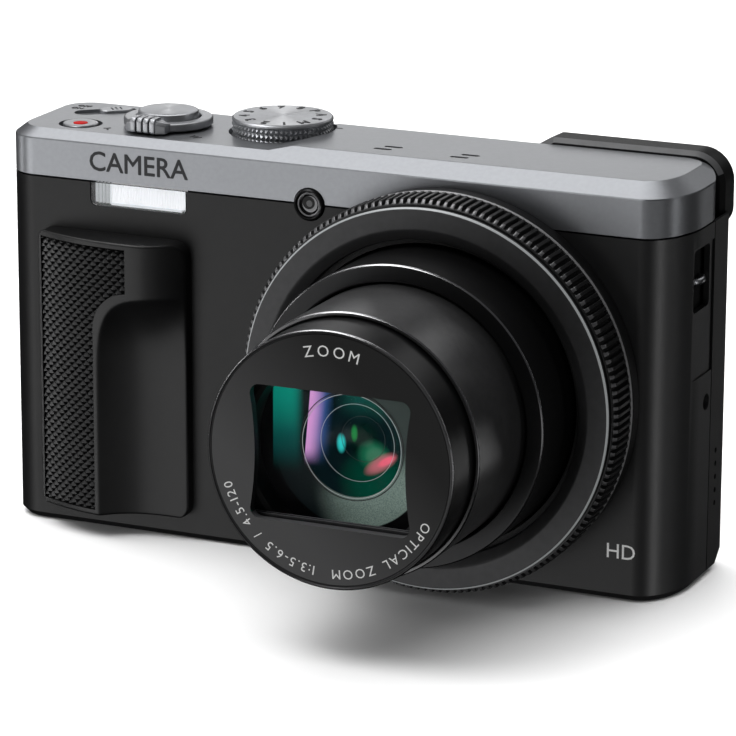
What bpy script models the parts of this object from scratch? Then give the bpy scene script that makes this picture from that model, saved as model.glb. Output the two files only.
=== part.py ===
"""Compact digital camera with a collapsing zoom lens, built as sixty separate pieces.

Frame: +X to the right of someone who looks at the front, -Y out of the lens, +Z up.
The origin lies on the flat base, in the middle of the body's depth.
Dimensions are in millimetres, and every mesh is made in metres through MM.
"""
import math

import bmesh
import bpy
from mathutils import Vector

MM = 0.001
GAP = 0.3

# Body
HALF_WIDTH = 56.0
FRONT = -12.5
BACK = 12.3
SPLIT = 3.5
WALL = 1.2
SEAM = 56.1
SHOULDER = 62.1
TOP_LOW = 63.3
TOP_HIGH = 64.05
TOP_BACK = 12.0
CORNER_LEFT = 5.3
CORNER_RIGHT = 5.6
EDGE_CHAMFER = 1.0
STEP_LEFT = -11.4
STEP_RIGHT = -7.6

# Lens: its axis runs along Y through LENS (x, z)
LENS = (20.34, 30.9)
HOUSING_RADIUS = 27.8
RING_RADIUS = 30.45
OUTER_RADIUS = 23.1
MIDDLE_RADIUS = 20.0
FRONT_RADIUS = 19.15
NOSE = -57.5
WINDOW_HALF = (12.3, 10.0)
BLADE_RADIUS = 18.2
BLADE_CHORD = 9.6

# Controls on the top, as (x, y)
DIAL = (-15.0, 2.9)
SHUTTER = (-33.2, -0.4)
RECORD = (-46.2, -5.2)
SWITCH = (-46.7, 4.4)
SWITCH_ANGLE = math.radians(38.0)
LEVER_ANGLE = math.radians(-92.0)

# Lamp, flash and grip on the front, as (x, z)
LAMP = (-3.4, 56.1)
FLASH_LOW = (-40.7, 52.4)
FLASH_HIGH = (-24.3, 56.0)
GRIP_LOW = (-49.1, 3.7)
GRIP_HIGH = (-23.5, 48.2)
GRIP_CREST = -31.5
GRIP_HEIGHT = 6.1
SCOOP_CENTRE = (-31.5, 34.0)
SCOOP_RADIUS = 5.6
SCOOP_FLOOR = 2.4
SCOOP_BLEND = 4.0

# Base and sides
SOCKET = (-8.0, -3.2)
BAY_LOW = (-51.2, -10.1)
BAY_HIGH = (-16.8, 2.2)
DOOR_PIN = (-17.4, 0.85)
FLAP_PIN = (-55.4, -4.95)
FLAP_LOW = 20.0
FLAP_HIGH = 46.0

# Back
FINDER_LEFT = 24.7
FINDER_BOTTOM = 52.7
FINDER_TOP = 64.9
FINDER_BACK = 14.0
FINDER_SEAM = 9.1
FINDER_CORNER = 7.0
SCREEN_LOW = (-20.7, 4.4)
SCREEN_HIGH = (50.7, 50.2)
REAR_DIAL = (-38.6, 24.5)
WHEEL = (52.4, 11.95, 59.4)
WHEEL_RADIUS = 2.1

TRIM = 0.4


def material(name, colour, roughness, metallic=0.0):
    """Principled material, made once for each name."""
    made = bpy.data.materials.new(name)
    made.use_nodes = True
    shader = made.node_tree.nodes["Principled BSDF"]
    shader.inputs["Base Color"].default_value = (*colour, 1.0)
    shader.inputs["Roughness"].default_value = roughness
    shader.inputs["Metallic"].default_value = metallic
    made.diffuse_color = (*colour, 1.0)
    return made


def rounded(corners, steps=5):
    """Closed outline through corners (x, y, radius), with an arc at each corner."""
    outline = []
    for index, (x, y, radius) in enumerate(corners):
        here = Vector((x, y))
        if radius == 0:
            outline.append((x, y))
            continue
        before = (Vector(corners[index - 1][:2]) - here).normalized()
        after = (Vector(corners[(index + 1) % len(corners)][:2]) - here).normalized()
        half = before.angle(after) / 2
        centre = here + (before + after).normalized() * (radius / math.sin(half))
        first = here + before * (radius / math.tan(half)) - centre
        last = here + after * (radius / math.tan(half)) - centre
        start = math.atan2(first.y, first.x)
        turn = math.remainder(math.atan2(last.y, last.x) - start, math.tau)
        for step in range(steps + 1):
            angle = start + turn * step / steps
            outline.append((centre.x + radius * math.cos(angle), centre.y + radius * math.sin(angle)))
    return outline


def box_outline(low, high, radius=0.0, steps=4):
    """Rectangle between two corners, with round corners where a radius is given."""
    corners = [(low[0], low[1]), (high[0], low[1]), (high[0], high[1]), (low[0], high[1])]
    return rounded([(x, y, radius) for x, y in corners], steps)


def circle(centre, radius, segments=32):
    """Outline of a round shape."""
    turns = [math.tau * index / segments for index in range(segments)]
    return [(centre[0] + radius * math.cos(a), centre[1] + radius * math.sin(a)) for a in turns]


def slot_outline(centre, half_length, radius, angle):
    """Slot with round ends, its long axis turned by angle."""
    outline = []
    for side in (1, -1):
        for step in range(7):
            turn = angle + math.pi * (step / 6 - 0.5) + (0.0 if side > 0 else math.pi)
            outline.append((centre[0] + side * half_length * math.cos(angle) + radius * math.cos(turn),
                            centre[1] + side * half_length * math.sin(angle) + radius * math.sin(turn)))
    return outline


def place(u, v, w, axis):
    """Point with outline coordinates u, v and height w, for a shape built along an axis."""
    if axis == "Z":
        return Vector((u, v, w))
    if axis == "Y":
        return Vector((u, w, v))
    return Vector((w, u, v))


def solid(name, points, faces, origin=(0.0, 0.0, 0.0)):
    """Object from points in millimetres, with its faces turned outwards."""
    origin = Vector(origin)
    mesh = bpy.data.meshes.new(name)
    mesh.from_pydata([(Vector(point) - origin) * MM for point in points], [], faces)
    shape = bmesh.new()
    shape.from_mesh(mesh)
    bmesh.ops.recalc_face_normals(shape, faces=shape.faces)
    shape.to_mesh(mesh)
    shape.free()
    made = bpy.data.objects.new(name, mesh)
    made.location = origin * MM
    bpy.context.collection.objects.link(made)
    return made


def stack(name, layers, axis="Z", origin=(0.0, 0.0, 0.0)):
    """Solid through layers (outline, height) whose outlines have equal point counts."""
    count = len(layers[0][0])
    points = [place(u, v, height, axis) for outline, height in layers for u, v in outline]
    faces = [list(range(count)), list(range(len(points) - count, len(points)))]
    for layer in range(len(layers) - 1):
        for index in range(count):
            after = (index + 1) % count
            low = layer * count
            faces.append((low + index, low + after, low + count + after, low + count + index))
    return solid(name, points, faces, origin)


def prism(name, outline, low, high, axis="Z", origin=(0.0, 0.0, 0.0)):
    """Outline extruded from low to high along an axis."""
    return stack(name, [(outline, low), (outline, high)], axis, origin)


def block(name, low, high, edge=0.0):
    """Box between two corners, its four upright edges cut by a chamfer where one is given."""
    corners = [(low[0], low[1]), (high[0], low[1]), (high[0], high[1]), (low[0], high[1])]
    outline = corners if edge == 0 else rounded([(x, y, edge) for x, y in corners], 1)
    return prism(name, outline, low[2], high[2])


def turned(name, profile, centre, axis="Y", segments=48):
    """Profile of (radius, height) points, closed, turned about an axis through centre."""
    points, rings = [], []
    for radius, height in profile:
        ring = []
        for index in range(segments if radius > 0 else 1):
            angle = math.tau * index / segments
            ring.append(len(points))
            points.append(place(centre[0] + radius * math.cos(angle),
                                centre[1] + radius * math.sin(angle), height, axis))
        rings.append(ring)
    faces = []
    for first, second in zip(rings, rings[1:] + rings[:1]):
        if len(first) == 1 and len(second) == 1:
            continue
        for index in range(segments):
            after = (index + 1) % segments
            corners = [first[index % len(first)], first[after % len(first)],
                       second[after % len(second)], second[index % len(second)]]
            faces.append(list(dict.fromkeys(corners)))
    return solid(name, points, faces, place(centre[0], centre[1], profile[0][1], axis))


def combine(target, others, operation="DIFFERENCE"):
    """Cuts the other objects from the target, or joins or intersects them, and removes them."""
    for other in others:
        change = target.modifiers.new(other.name, "BOOLEAN")
        change.operation = operation
        change.object = other
        change.solver = "EXACT"
        graph = bpy.context.evaluated_depsgraph_get()
        result = bpy.data.meshes.new_from_object(target.evaluated_get(graph))
        target.modifiers.clear()
        target.data = result
        bpy.data.objects.remove(other)
    return target


def finish(made, look, smooth=False):
    """Gives an object its material, and smooth shading where it is round."""
    made.data.materials.clear()
    made.data.materials.append(look)
    if smooth:
        made.data.shade_smooth()
        made.data.set_sharp_from_angle(angle=math.radians(35.0))
    return made


def body_outline(inset, low, high, rear_radius=0.0):
    """Plan of the body between two depths, moved in by inset at its front and sides."""
    half = HALF_WIDTH - inset
    return rounded([(-half, low + inset, CORNER_LEFT - inset), (half, low + inset, CORNER_RIGHT - inset),
                    (half, high, rear_radius), (-half, high, rear_radius)])


def finder_boundary(clearance):
    """Outline of the top cover's side of the line where the viewfinder begins."""
    reach = FINDER_CORNER + clearance
    side = HALF_WIDTH + clearance
    seam = FINDER_SEAM + clearance
    return rounded([(-80.0, -40.0, 0), (side, -40.0, 0), (side, seam, reach), (-80.0, seam, 0)], 8)


def front_cover(look):
    """Black front shell with the base and the front halves of the sides."""
    cover = stack("front_cover", [(body_outline(EDGE_CHAMFER, FRONT, SPLIT), 0.0),
                                  (body_outline(0.0, FRONT, SPLIT), EDGE_CHAMFER),
                                  (body_outline(0.0, FRONT, SPLIT), SEAM - 0.15)])
    cuts = [prism("cavity", body_outline(WALL, FRONT, SPLIT + 8.0), WALL, SEAM + 5.0),
            prism("lens_hole", circle(LENS, HOUSING_RADIUS + 0.4, 64), FRONT - 5.0, FRONT + 5.0, "Y"),
            prism("flash_hole", box_outline((FLASH_LOW[0] - GAP, FLASH_LOW[1] - GAP),
                                            (FLASH_HIGH[0] + GAP, SEAM + 3.0)),
                  FRONT - 5.0, FRONT + 5.0, "Y"),
            prism("lamp_hole", circle(LAMP, 2.75, 24), FRONT - 5.0, FRONT + 5.0, "Y"),
            prism("socket_hole", circle(SOCKET, 5.5, 24), -1.0, 3.0),
            prism("bay_hole", box_outline((BAY_LOW[0] - TRIM, BAY_LOW[1] - TRIM),
                                          (BAY_HIGH[0] + TRIM, BAY_HIGH[1] + GAP)), -1.0, 3.0),
            prism("flap_hole", box_outline((FLAP_PIN[1] - 0.9, FLAP_LOW - GAP),
                                           (2.9, FLAP_HIGH + GAP)), -60.0, -54.0, "X"),
            prism("lug_hole", box_outline((-4.6, 43.4), (2.4, 53.0), 0.8), 54.0, 60.0, "X"),
            prism("screw_hole", circle((1.5, 28.4), 1.3, 16), 54.0, 60.0, "X")]
    return finish(combine(cover, cuts), look, True)


def rear_cover(look):
    """Black rear shell around the screen, with the buttons' holes."""
    side = HALF_WIDTH
    low = SPLIT + GAP

    def plan(inset, back, radius):
        """Plan of the rear shell, moved in by inset at its sides."""
        return rounded([(-side + inset, low, 0), (side - inset, low, 0),
                        (side - inset, back, radius), (-side + inset, back, radius)])

    cover = stack("rear_cover", [(plan(EDGE_CHAMFER, BACK - 4.0, 2.0), 0.0),
                                 (plan(0.0, BACK - 2.6, 2.5), EDGE_CHAMFER),
                                 (plan(0.0, BACK, 3.0), 2.8),
                                 (plan(0.0, BACK, 3.0), SEAM - 0.15)])
    inner_back = BACK - WALL
    cavity = stack("cavity", [(body_outline(1.4, -20.0, inner_back - 2.6, 1.5), 1.4),
                              (body_outline(1.4, -20.0, inner_back, 2.0), 3.5),
                              (body_outline(1.4, -20.0, inner_back, 2.0), SEAM + 5.0)])
    window = prism("window", box_outline((SCREEN_LOW[0] - GAP, SCREEN_LOW[1] - GAP),
                                         (SCREEN_HIGH[0] + GAP, SCREEN_HIGH[1] + GAP), 1.5), 5.0, 20.0, "Y")
    finder = block("finder", (FINDER_LEFT - GAP, -20.0, FINDER_BOTTOM - GAP), (80.0, 40.0, 80.0))
    cuts = [cavity, window, finder,
            prism("dial_hole", circle(REAR_DIAL, 9.4, 40), 5.0, 20.0, "Y")]
    for name, (x, z) in REAR_BUTTONS.items():
        cuts.append(prism(name + "_hole", circle((x, z), 2.8, 24), 5.0, 20.0, "Y"))
    return finish(combine(cover, cuts), look, True)


def top_cover(look):
    """Silver top with a long front chamfer, lower at the left, where the controls are."""
    lower = rounded([(-HALF_WIDTH, FRONT, CORNER_LEFT), (HALF_WIDTH, FRONT, CORNER_RIGHT),
                     (HALF_WIDTH, TOP_BACK, 5.0), (-HALF_WIDTH, TOP_BACK, 5.0)])
    upper = rounded([(-HALF_WIDTH + 2.1, FRONT + 3.8, 4.0), (HALF_WIDTH - 3.1, FRONT + 3.8, 4.6),
                     (HALF_WIDTH - 3.1, TOP_BACK - 3.4, 4.0), (-HALF_WIDTH + 2.1, TOP_BACK - 3.4, 4.0)])
    cover = stack("top_cover", [(lower, SEAM + 0.15), (lower, SHOULDER), (upper, TOP_HIGH)])
    slope = (TOP_HIGH - TOP_LOW) / (STEP_RIGHT - STEP_LEFT)
    step = prism("step", [(-80.0, TOP_LOW), (STEP_LEFT, TOP_LOW), (STEP_LEFT + 6.0, TOP_LOW + 6.0 * slope),
                          (STEP_LEFT + 6.0, 80.0), (-80.0, 80.0)], -40.0, 40.0, "Y")
    finder = block("finder", (FINDER_LEFT - 0.1, -40.0, 40.0), (80.0, 40.0, 80.0))
    combine(finder, [prism("keep", finder_boundary(0.0), 30.0, 90.0)])
    room = rounded([(-54.7, FRONT + 1.3, 4.0), (54.7, FRONT + 1.3, 4.3),
                    (54.7, FINDER_SEAM - 1.3, FINDER_CORNER - 1.3), (-54.7, FINDER_SEAM - 1.3, 4.0)])
    cuts = [step, finder,
            prism("room", room, 50.0, TOP_LOW - 2.8),
            prism("lens_hole", circle(LENS, HOUSING_RADIUS + 0.4, 64), FRONT - 5.0, FRONT + 5.0, "Y"),
            prism("lamp_hole", circle(LAMP, 2.75, 24), FRONT - 5.0, FRONT + 5.0, "Y"),
            prism("dial_well", circle(DIAL, 8.5, 48), TOP_LOW - 1.6, 80.0),
            prism("dial_hole", circle(DIAL, 2.3, 16), 50.0, 80.0),
            prism("shutter_hole", circle(SHUTTER, 2.3, 16), 50.0, 80.0),
            prism("record_well", circle(RECORD, 3.45, 24), TOP_LOW - 1.4, 80.0),
            prism("record_hole", circle(RECORD, 1.3, 12), 50.0, 80.0),
            prism("switch_well", slot_outline(SWITCH, 3.2, 1.9, SWITCH_ANGLE), TOP_LOW - 1.4, 80.0)]
    return finish(combine(cover, cuts), look, True)


def grip_height(x, z):
    """How far the grip stands out of the front: a hump with a finger scoop at its lower right."""
    width = 21.5 if x < GRIP_CREST else 9.2
    hump = GRIP_HEIGHT * (1.0 - (abs(x - GRIP_CREST) / width) ** 2.3)
    across = x - (SCOOP_CENTRE[0] - SCOOP_RADIUS)
    down = SCOOP_CENTRE[1] + SCOOP_RADIUS - z
    corner = SCOOP_RADIUS - math.hypot(x - SCOOP_CENTRE[0], z - SCOOP_CENTRE[1])
    inside = corner if x < SCOOP_CENTRE[0] and z > SCOOP_CENTRE[1] else min(across, down)
    share = min(max(inside / SCOOP_BLEND, 0.0), 1.0)
    share = share * share * (3.0 - 2.0 * share)
    return hump + (SCOOP_FLOOR - hump) * share


def grip_slab(name, top_offset, bottom_offset, columns=16, rows=12):
    """Slab over the grip's rectangle between two offsets from its surface, or from the back."""
    low = (GRIP_LOW[0] - 0.5, GRIP_LOW[1] - 0.5)
    high = (GRIP_HIGH[0] + 0.5, GRIP_HIGH[1] + 0.5)
    points = []
    for offset in (top_offset, bottom_offset):
        for row in range(rows + 1):
            for column in range(columns + 1):
                x = low[0] + (high[0] - low[0]) * column / columns
                z = low[1] + (high[1] - low[1]) * row / rows
                depth = FRONT - GAP if offset is None else FRONT - grip_height(x, z) - offset
                points.append((x, depth, z))
    sheet = (columns + 1) * (rows + 1)
    faces = []
    for base in (0, sheet):
        for row in range(rows):
            for column in range(columns):
                a = base + row * (columns + 1) + column
                faces += [(a, a + 1, a + columns + 2), (a, a + columns + 2, a + columns + 1)]
    edge = [column for column in range(columns)]
    edge += [(row + 1) * (columns + 1) - 1 for row in range(rows)]
    edge += [sheet - 1 - column for column in range(columns)]
    edge += [(rows - row) * (columns + 1) for row in range(rows)]
    for first, second in zip(edge, edge[1:] + edge[:1]):
        faces.append((first, second, second + sheet, first + sheet))
    return solid(name, points, faces)


def pad_outline(inset):
    """Outline of the textured pad: the grip's left part, with a hook over the scoop."""
    left = GRIP_LOW[0] + 0.8 + inset
    low = GRIP_LOW[1] + 0.9 + inset
    high = GRIP_HIGH[1] - 0.9 - inset
    right = SCOOP_CENTRE[0] - 0.4 - inset
    reach = SCOOP_RADIUS + 0.7 + inset
    outline = [(left, low), (SCOOP_CENTRE[0] - reach, low)]
    for step in range(7):
        angle = math.pi - (math.pi / 2 - 0.12) * step / 6
        outline.append((SCOOP_CENTRE[0] + reach * math.cos(angle),
                        SCOOP_CENTRE[1] + reach * math.sin(angle)))
    return outline + [(right, SCOOP_CENTRE[1] + reach), (right, high), (left, high)]


def grip(frame_look, pad_look):
    """Grip moulding, and the textured pad that is let into it."""
    frame = grip_slab("grip_frame", 0.0, None)
    outline = rounded([(GRIP_LOW[0], GRIP_LOW[1], 1.6), (GRIP_HIGH[0], GRIP_LOW[1], 2.0),
                       (GRIP_HIGH[0], GRIP_HIGH[1], 2.6), (GRIP_LOW[0], GRIP_HIGH[1], 1.6)], 3)
    combine(frame, [prism("edge", outline, -40.0, 0.0, "Y")], "INTERSECT")
    pocket = grip_slab("pocket", 6.0, -1.0)
    combine(pocket, [prism("pocket_edge", pad_outline(0.0), -40.0, 0.0, "Y")], "INTERSECT")
    combine(frame, [pocket])
    pad = grip_slab("grip_pad", 0.0, -0.7)
    combine(pad, [prism("pad_edge", pad_outline(GAP), -40.0, 0.0, "Y")], "INTERSECT")
    finish(frame, frame_look, True)
    finish(pad, pad_look, True)


def lens_parts(looks):
    """Lens housing, rings, three nested barrels and the glass inside them."""
    base = turned("lens_base_ring", [(30.1, FRONT - GAP), (30.1, FRONT - 2.7), (29.7, FRONT - 3.1),
                                     (28.2, FRONT - 3.1), (28.2, FRONT - GAP)], LENS)
    ring = turned("control_ring", [(RING_RADIUS, -15.9), (RING_RADIUS, -22.4), (30.0, -22.7),
                                   (28.2, -22.7), (28.2, -15.9)], LENS, segments=60)
    face = turned("control_ring_face", [(29.4, -23.0), (29.4, -23.5), (29.0, -23.8), (26.0, -23.8),
                                        (24.4, -22.8), (24.3, -21.5), (27.9, -21.5), (27.9, -23.0)],
                  LENS)
    housing = turned("lens_housing", [(HOUSING_RADIUS, 5.4), (HOUSING_RADIUS, -21.2), (23.5, -21.2),
                                      (23.5, 4.4), (9.0, 4.4), (9.0, 5.4)], LENS)
    outer = turned("barrel_outer", [(OUTER_RADIUS, -8.5), (OUTER_RADIUS, -33.2), (22.7, -33.6),
                                    (20.4, -33.4), (20.4, -32.6), (20.8, -32.6), (20.8, -8.5)],
                   LENS)
    middle = turned("barrel_middle", [(MIDDLE_RADIUS, -22.6), (MIDDLE_RADIUS, -49.8), (19.8, -50.1),
                                      (19.45, -50.1), (19.45, -22.6)], LENS)
    front = turned("barrel_front", [(FRONT_RADIUS, -37.5), (FRONT_RADIUS, NOSE + 0.2), (19.0, NOSE),
                                    (18.55, NOSE), (18.55, -37.5)], LENS)
    for piece, look in ((base, "black_metal"), (ring, "black_metal"), (face, "black_metal"),
                        (housing, "black_plastic"), (outer, "black_metal"), (middle, "black_metal"),
                        (front, "black_metal")):
        finish(piece, looks[look], True)

    plate = prism("name_ring", circle(LENS, 18.25, 48), NOSE + 0.15, NOSE + 1.5, "Y")
    half_x, half_z = WINDOW_HALF
    opening = rounded([(LENS[0] + half_x * side_x, LENS[1] + half_z * side_z, 1.8)
                       for side_x, side_z in ((-1, -1), (1, -1), (1, 1), (-1, 1))])
    finish(combine(plate, [prism("opening", opening, NOSE - 2.0, NOSE + 4.0, "Y")]), looks["black_metal"])

    cell = turned("front_lens_cell", [(BLADE_RADIUS, -42.5), (BLADE_RADIUS, -54.2), (14.6, -54.2),
                                      (14.6, -46.0), (10.6, -44.4), (10.6, -42.5)], LENS, segments=32)
    finish(cell, looks["black_plastic"], True)
    glass = turned("front_lens", [(0.0, -46.9), (8.0, -47.3), (14.2, -48.2), (14.2, -51.2), (12.0, -52.1),
                                  (8.5, -53.1), (4.5, -53.8), (0.0, -54.0)], LENS, segments=28)
    finish(glass, looks["lens_glass"], True)

    carrier = turned("zoom_carrier", [(19.15, -22.9), (19.15, -25.5), (11.0, -25.5), (11.0, -30.2),
                                      (8.6, -30.2), (8.6, -22.9)], LENS, segments=32)
    shutter = turned("shutter_unit", [(11.0, -30.5), (11.0, -34.5), (4.6, -34.5), (4.6, -30.5)],
                     LENS, segments=32)
    zoom = turned("zoom_lens", [(0.0, -26.6), (8.3, -26.9), (8.3, -28.6), (0.0, -29.5)], LENS, segments=28)
    focus = turned("focus_lens", [(0.0, 2.2), (7.2, 1.9), (7.2, 0.9), (0.0, 0.6)], LENS, segments=28)
    finish(carrier, looks["black_plastic"], True)
    finish(shutter, looks["black_plastic"], True)
    finish(zoom, looks["lens_glass"], True)
    finish(focus, looks["lens_glass"], True)


def barrier_blades(look):
    """Four thin blades in two layers, parked just above and below the lens opening."""
    reach = math.acos(BLADE_CHORD / BLADE_RADIUS)
    for layer, front in (("outer", NOSE + 1.8), ("inner", NOSE + 2.45)):
        for side, middle in (("upper", math.pi / 2), ("lower", -math.pi / 2)):
            outline = []
            for step in range(15):
                angle = middle + reach * (step / 7 - 1.0)
                outline.append((LENS[0] + BLADE_RADIUS * math.cos(angle),
                                LENS[1] + BLADE_RADIUS * math.sin(angle)))
            finish(prism(f"barrier_{side}_{layer}", outline, front, front + 0.35, "Y"), look)


def flash_and_lamp(looks):
    """Flash behind its window in the front, and the focus-assist lamp on the seam."""
    low, high = FLASH_LOW, FLASH_HIGH
    window = prism("flash_window", box_outline(low, high, 0.6, 2), FRONT - 0.05, FRONT + 1.4, "Y")
    finish(window, looks["clear_plastic"])
    reflector = block("flash_reflector", (low[0] + 0.2, FRONT + 1.8, low[1] + 0.2),
                      (high[0] - 0.2, FRONT + 6.5, high[1] - 0.2))
    trough = [(FRONT + 1.0, low[1] + 0.6), (FRONT + 6.0, low[1] + 1.2), (FRONT + 6.0, high[1] - 1.2),
              (FRONT + 1.0, high[1] - 0.6)]
    combine(reflector, [prism("trough", trough, low[0] + 0.8, high[0] - 0.8, "X")])
    finish(reflector, looks["chrome"])
    middle_z = (low[1] + high[1]) / 2
    tube = prism("flash_tube", circle((FRONT + 4.4, middle_z), 0.7, 12), low[0] + 1.2, high[0] - 1.2, "X")
    finish(tube, looks["clear_plastic"], True)
    capacitor = turned("flash_capacitor", [(0.0, 10.0), (3.4, 10.0), (3.8, 10.4), (3.8, 45.6), (3.4, 46.0),
                                           (0.0, 46.0)], (-13.9, -7.3), "Z", 20)
    finish(capacitor, looks["black_plastic"], True)
    bezel = turned("af_lamp_bezel", [(2.45, FRONT + 2.0), (2.45, FRONT - 0.3), (2.2, FRONT - 0.5),
                                     (1.9, FRONT - 0.3), (1.9, FRONT + 2.0)], LAMP, segments=32)
    finish(bezel, looks["black_metal"], True)
    lamp = turned("af_lamp_lens", [(0.0, FRONT + 1.6), (1.6, FRONT + 1.6), (1.6, FRONT + 0.3),
                                   (0.9, FRONT - 0.1), (0.0, FRONT - 0.2)], LAMP, segments=24)
    finish(lamp, looks["clear_plastic"], True)


def top_controls(looks):
    """Mode dial, shutter button with its zoom lever, record button and power switch."""
    dial = turned("mode_dial", [(0.0, 58.6), (2.0, 58.6), (2.0, 62.0), (7.6, 62.0), (8.0, 62.3),
                                (8.0, 65.6), (7.6, 65.9), (0.0, 65.8)], DIAL, "Z", 32)
    finish(dial, looks["machined_metal"], True)
    button = turned("shutter_button", [(0.0, 59.0), (1.9, 59.0), (1.9, 64.4), (4.5, 64.4), (4.75, 64.6),
                                       (4.75, 65.7), (4.4, 65.95), (0.0, 66.0)], SHUTTER, "Z", 28)
    finish(button, looks["machined_metal"], True)
    lever = turned("zoom_lever", [(2.3, 63.55), (6.8, 63.55), (7.0, 63.75), (7.0, 64.65), (6.8, 64.9),
                                  (5.3, 64.9), (5.1, 64.7), (5.1, 63.85), (2.3, 63.85)], SHUTTER, "Z", 28)
    tab = []
    for along, across in ((5.3, -2.2), (8.3, -2.2), (8.6, -1.8), (8.6, 1.8), (8.3, 2.2), (5.3, 2.2)):
        tab.append((SHUTTER[0] + along * math.cos(LEVER_ANGLE) - across * math.sin(LEVER_ANGLE),
                    SHUTTER[1] + along * math.sin(LEVER_ANGLE) + across * math.cos(LEVER_ANGLE)))
    finish(combine(lever, [prism("tab", tab, 63.6, 65.8)], "UNION"), looks["machined_metal"], True)
    record = turned("record_button", [(0.0, 59.0), (1.0, 59.0), (1.0, 62.5), (2.8, 62.5), (2.8, 63.35),
                                      (2.5, 63.5), (0.0, 63.5)], RECORD, "Z", 24)
    finish(record, looks["machined_metal"], True)
    rest = (SWITCH[0] + 1.7 * math.cos(SWITCH_ANGLE), SWITCH[1] + 1.7 * math.sin(SWITCH_ANGLE))
    slider = prism("power_switch", slot_outline(rest, 1.2, 1.5, SWITCH_ANGLE), 62.2, 63.7)
    finish(slider, looks["machined_metal"], True)


def viewfinder(looks):
    """Viewfinder housing at the top right of the back, with its window and diopter wheel."""
    profile = rounded([(FINDER_LEFT, FINDER_BOTTOM, 0.8), (55.3, FINDER_BOTTOM, 3.2),
                       (55.3, FINDER_TOP, 5.0), (27.4, FINDER_TOP, 0.8), (24.9, 63.6, 0.8)], 4)
    housing = stack("viewfinder_housing", [(profile, SPLIT + GAP), (profile, FINDER_BACK)], "Y")
    shell = prism("keep", finder_boundary(GAP), SEAM - 0.15, 90.0)
    window = box_outline((31.0, 55.2), (48.0, 62.2), 1.0, 2)
    recess = box_outline((29.4, 54.2), (49.4, 63.2), 1.6, 3)
    reach = WHEEL_RADIUS + 0.25
    wheel_slot = block("slot", (WHEEL[0] - 1.3, WHEEL[1] - reach, WHEEL[2] - reach),
                       (WHEEL[0] + 1.3, 30.0, WHEEL[2] + reach))
    lens_room = prism("lens_room", circle(LENS, HOUSING_RADIUS + 0.4, 64), -5.0, 5.8, "Y")
    combine(housing, [shell, lens_room, prism("window", window, 10.6, 20.0, "Y"),
                      prism("recess", recess, 12.7, 20.0, "Y"), wheel_slot])
    finish(housing, looks["black_plastic"], True)
    frame = prism("eyepiece_frame", box_outline((29.7, 54.5), (49.1, 62.9), 1.4, 3), 13.0, 14.2, "Y")
    combine(frame, [prism("hole", window, 10.0, 20.0, "Y")])
    finish(frame, looks["rubber"])
    glass = prism("eyepiece_lens", box_outline((31.4, 55.6), (47.6, 61.8), 0.8, 2), 11.0, 12.6, "Y")
    finish(glass, looks["lens_glass"])
    rim = WHEEL_RADIUS - 0.2
    wheel = turned("diopter_wheel", [(0.0, WHEEL[0] - 1.0), (rim, WHEEL[0] - 1.0),
                                     (WHEEL_RADIUS, WHEEL[0] - 0.8), (WHEEL_RADIUS, WHEEL[0] + 0.8),
                                     (rim, WHEEL[0] + 1.0), (0.0, WHEEL[0] + 1.0)],
                   (WHEEL[1], WHEEL[2]), "X", 24)
    finish(wheel, looks["black_plastic"], True)


def back_controls(looks):
    """Screen, rear dial and the buttons on the back."""
    panel = block("lcd_panel", (-19.5, 8.9, 5.5), (49.5, 10.8, 49.0))
    finish(panel, looks["black_plastic"])
    glass = prism("lcd_glass", box_outline(SCREEN_LOW, SCREEN_HIGH, 1.2), 11.1, BACK - 0.2, "Y")
    finish(glass, looks["screen_glass"])
    dial = turned("rear_dial", [(4.8, 10.0), (9.0, 10.0), (9.0, 12.9), (8.5, 13.4), (5.2, 13.4),
                                (4.8, 13.0)], REAR_DIAL, segments=28)
    finish(dial, looks["black_plastic"], True)
    button = turned("menu_button", [(0.0, 10.0), (4.4, 10.0), (4.4, 13.1), (4.0, 13.4), (0.0, 13.5)],
                    REAR_DIAL, segments=24)
    finish(button, looks["black_plastic"], True)
    for name, position in REAR_BUTTONS.items():
        button = turned(name, [(0.0, 10.2), (2.4, 10.2), (2.4, 12.7), (2.1, 12.9), (0.0, 12.95)],
                        position, segments=20)
        finish(button, looks["black_plastic"], True)


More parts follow.
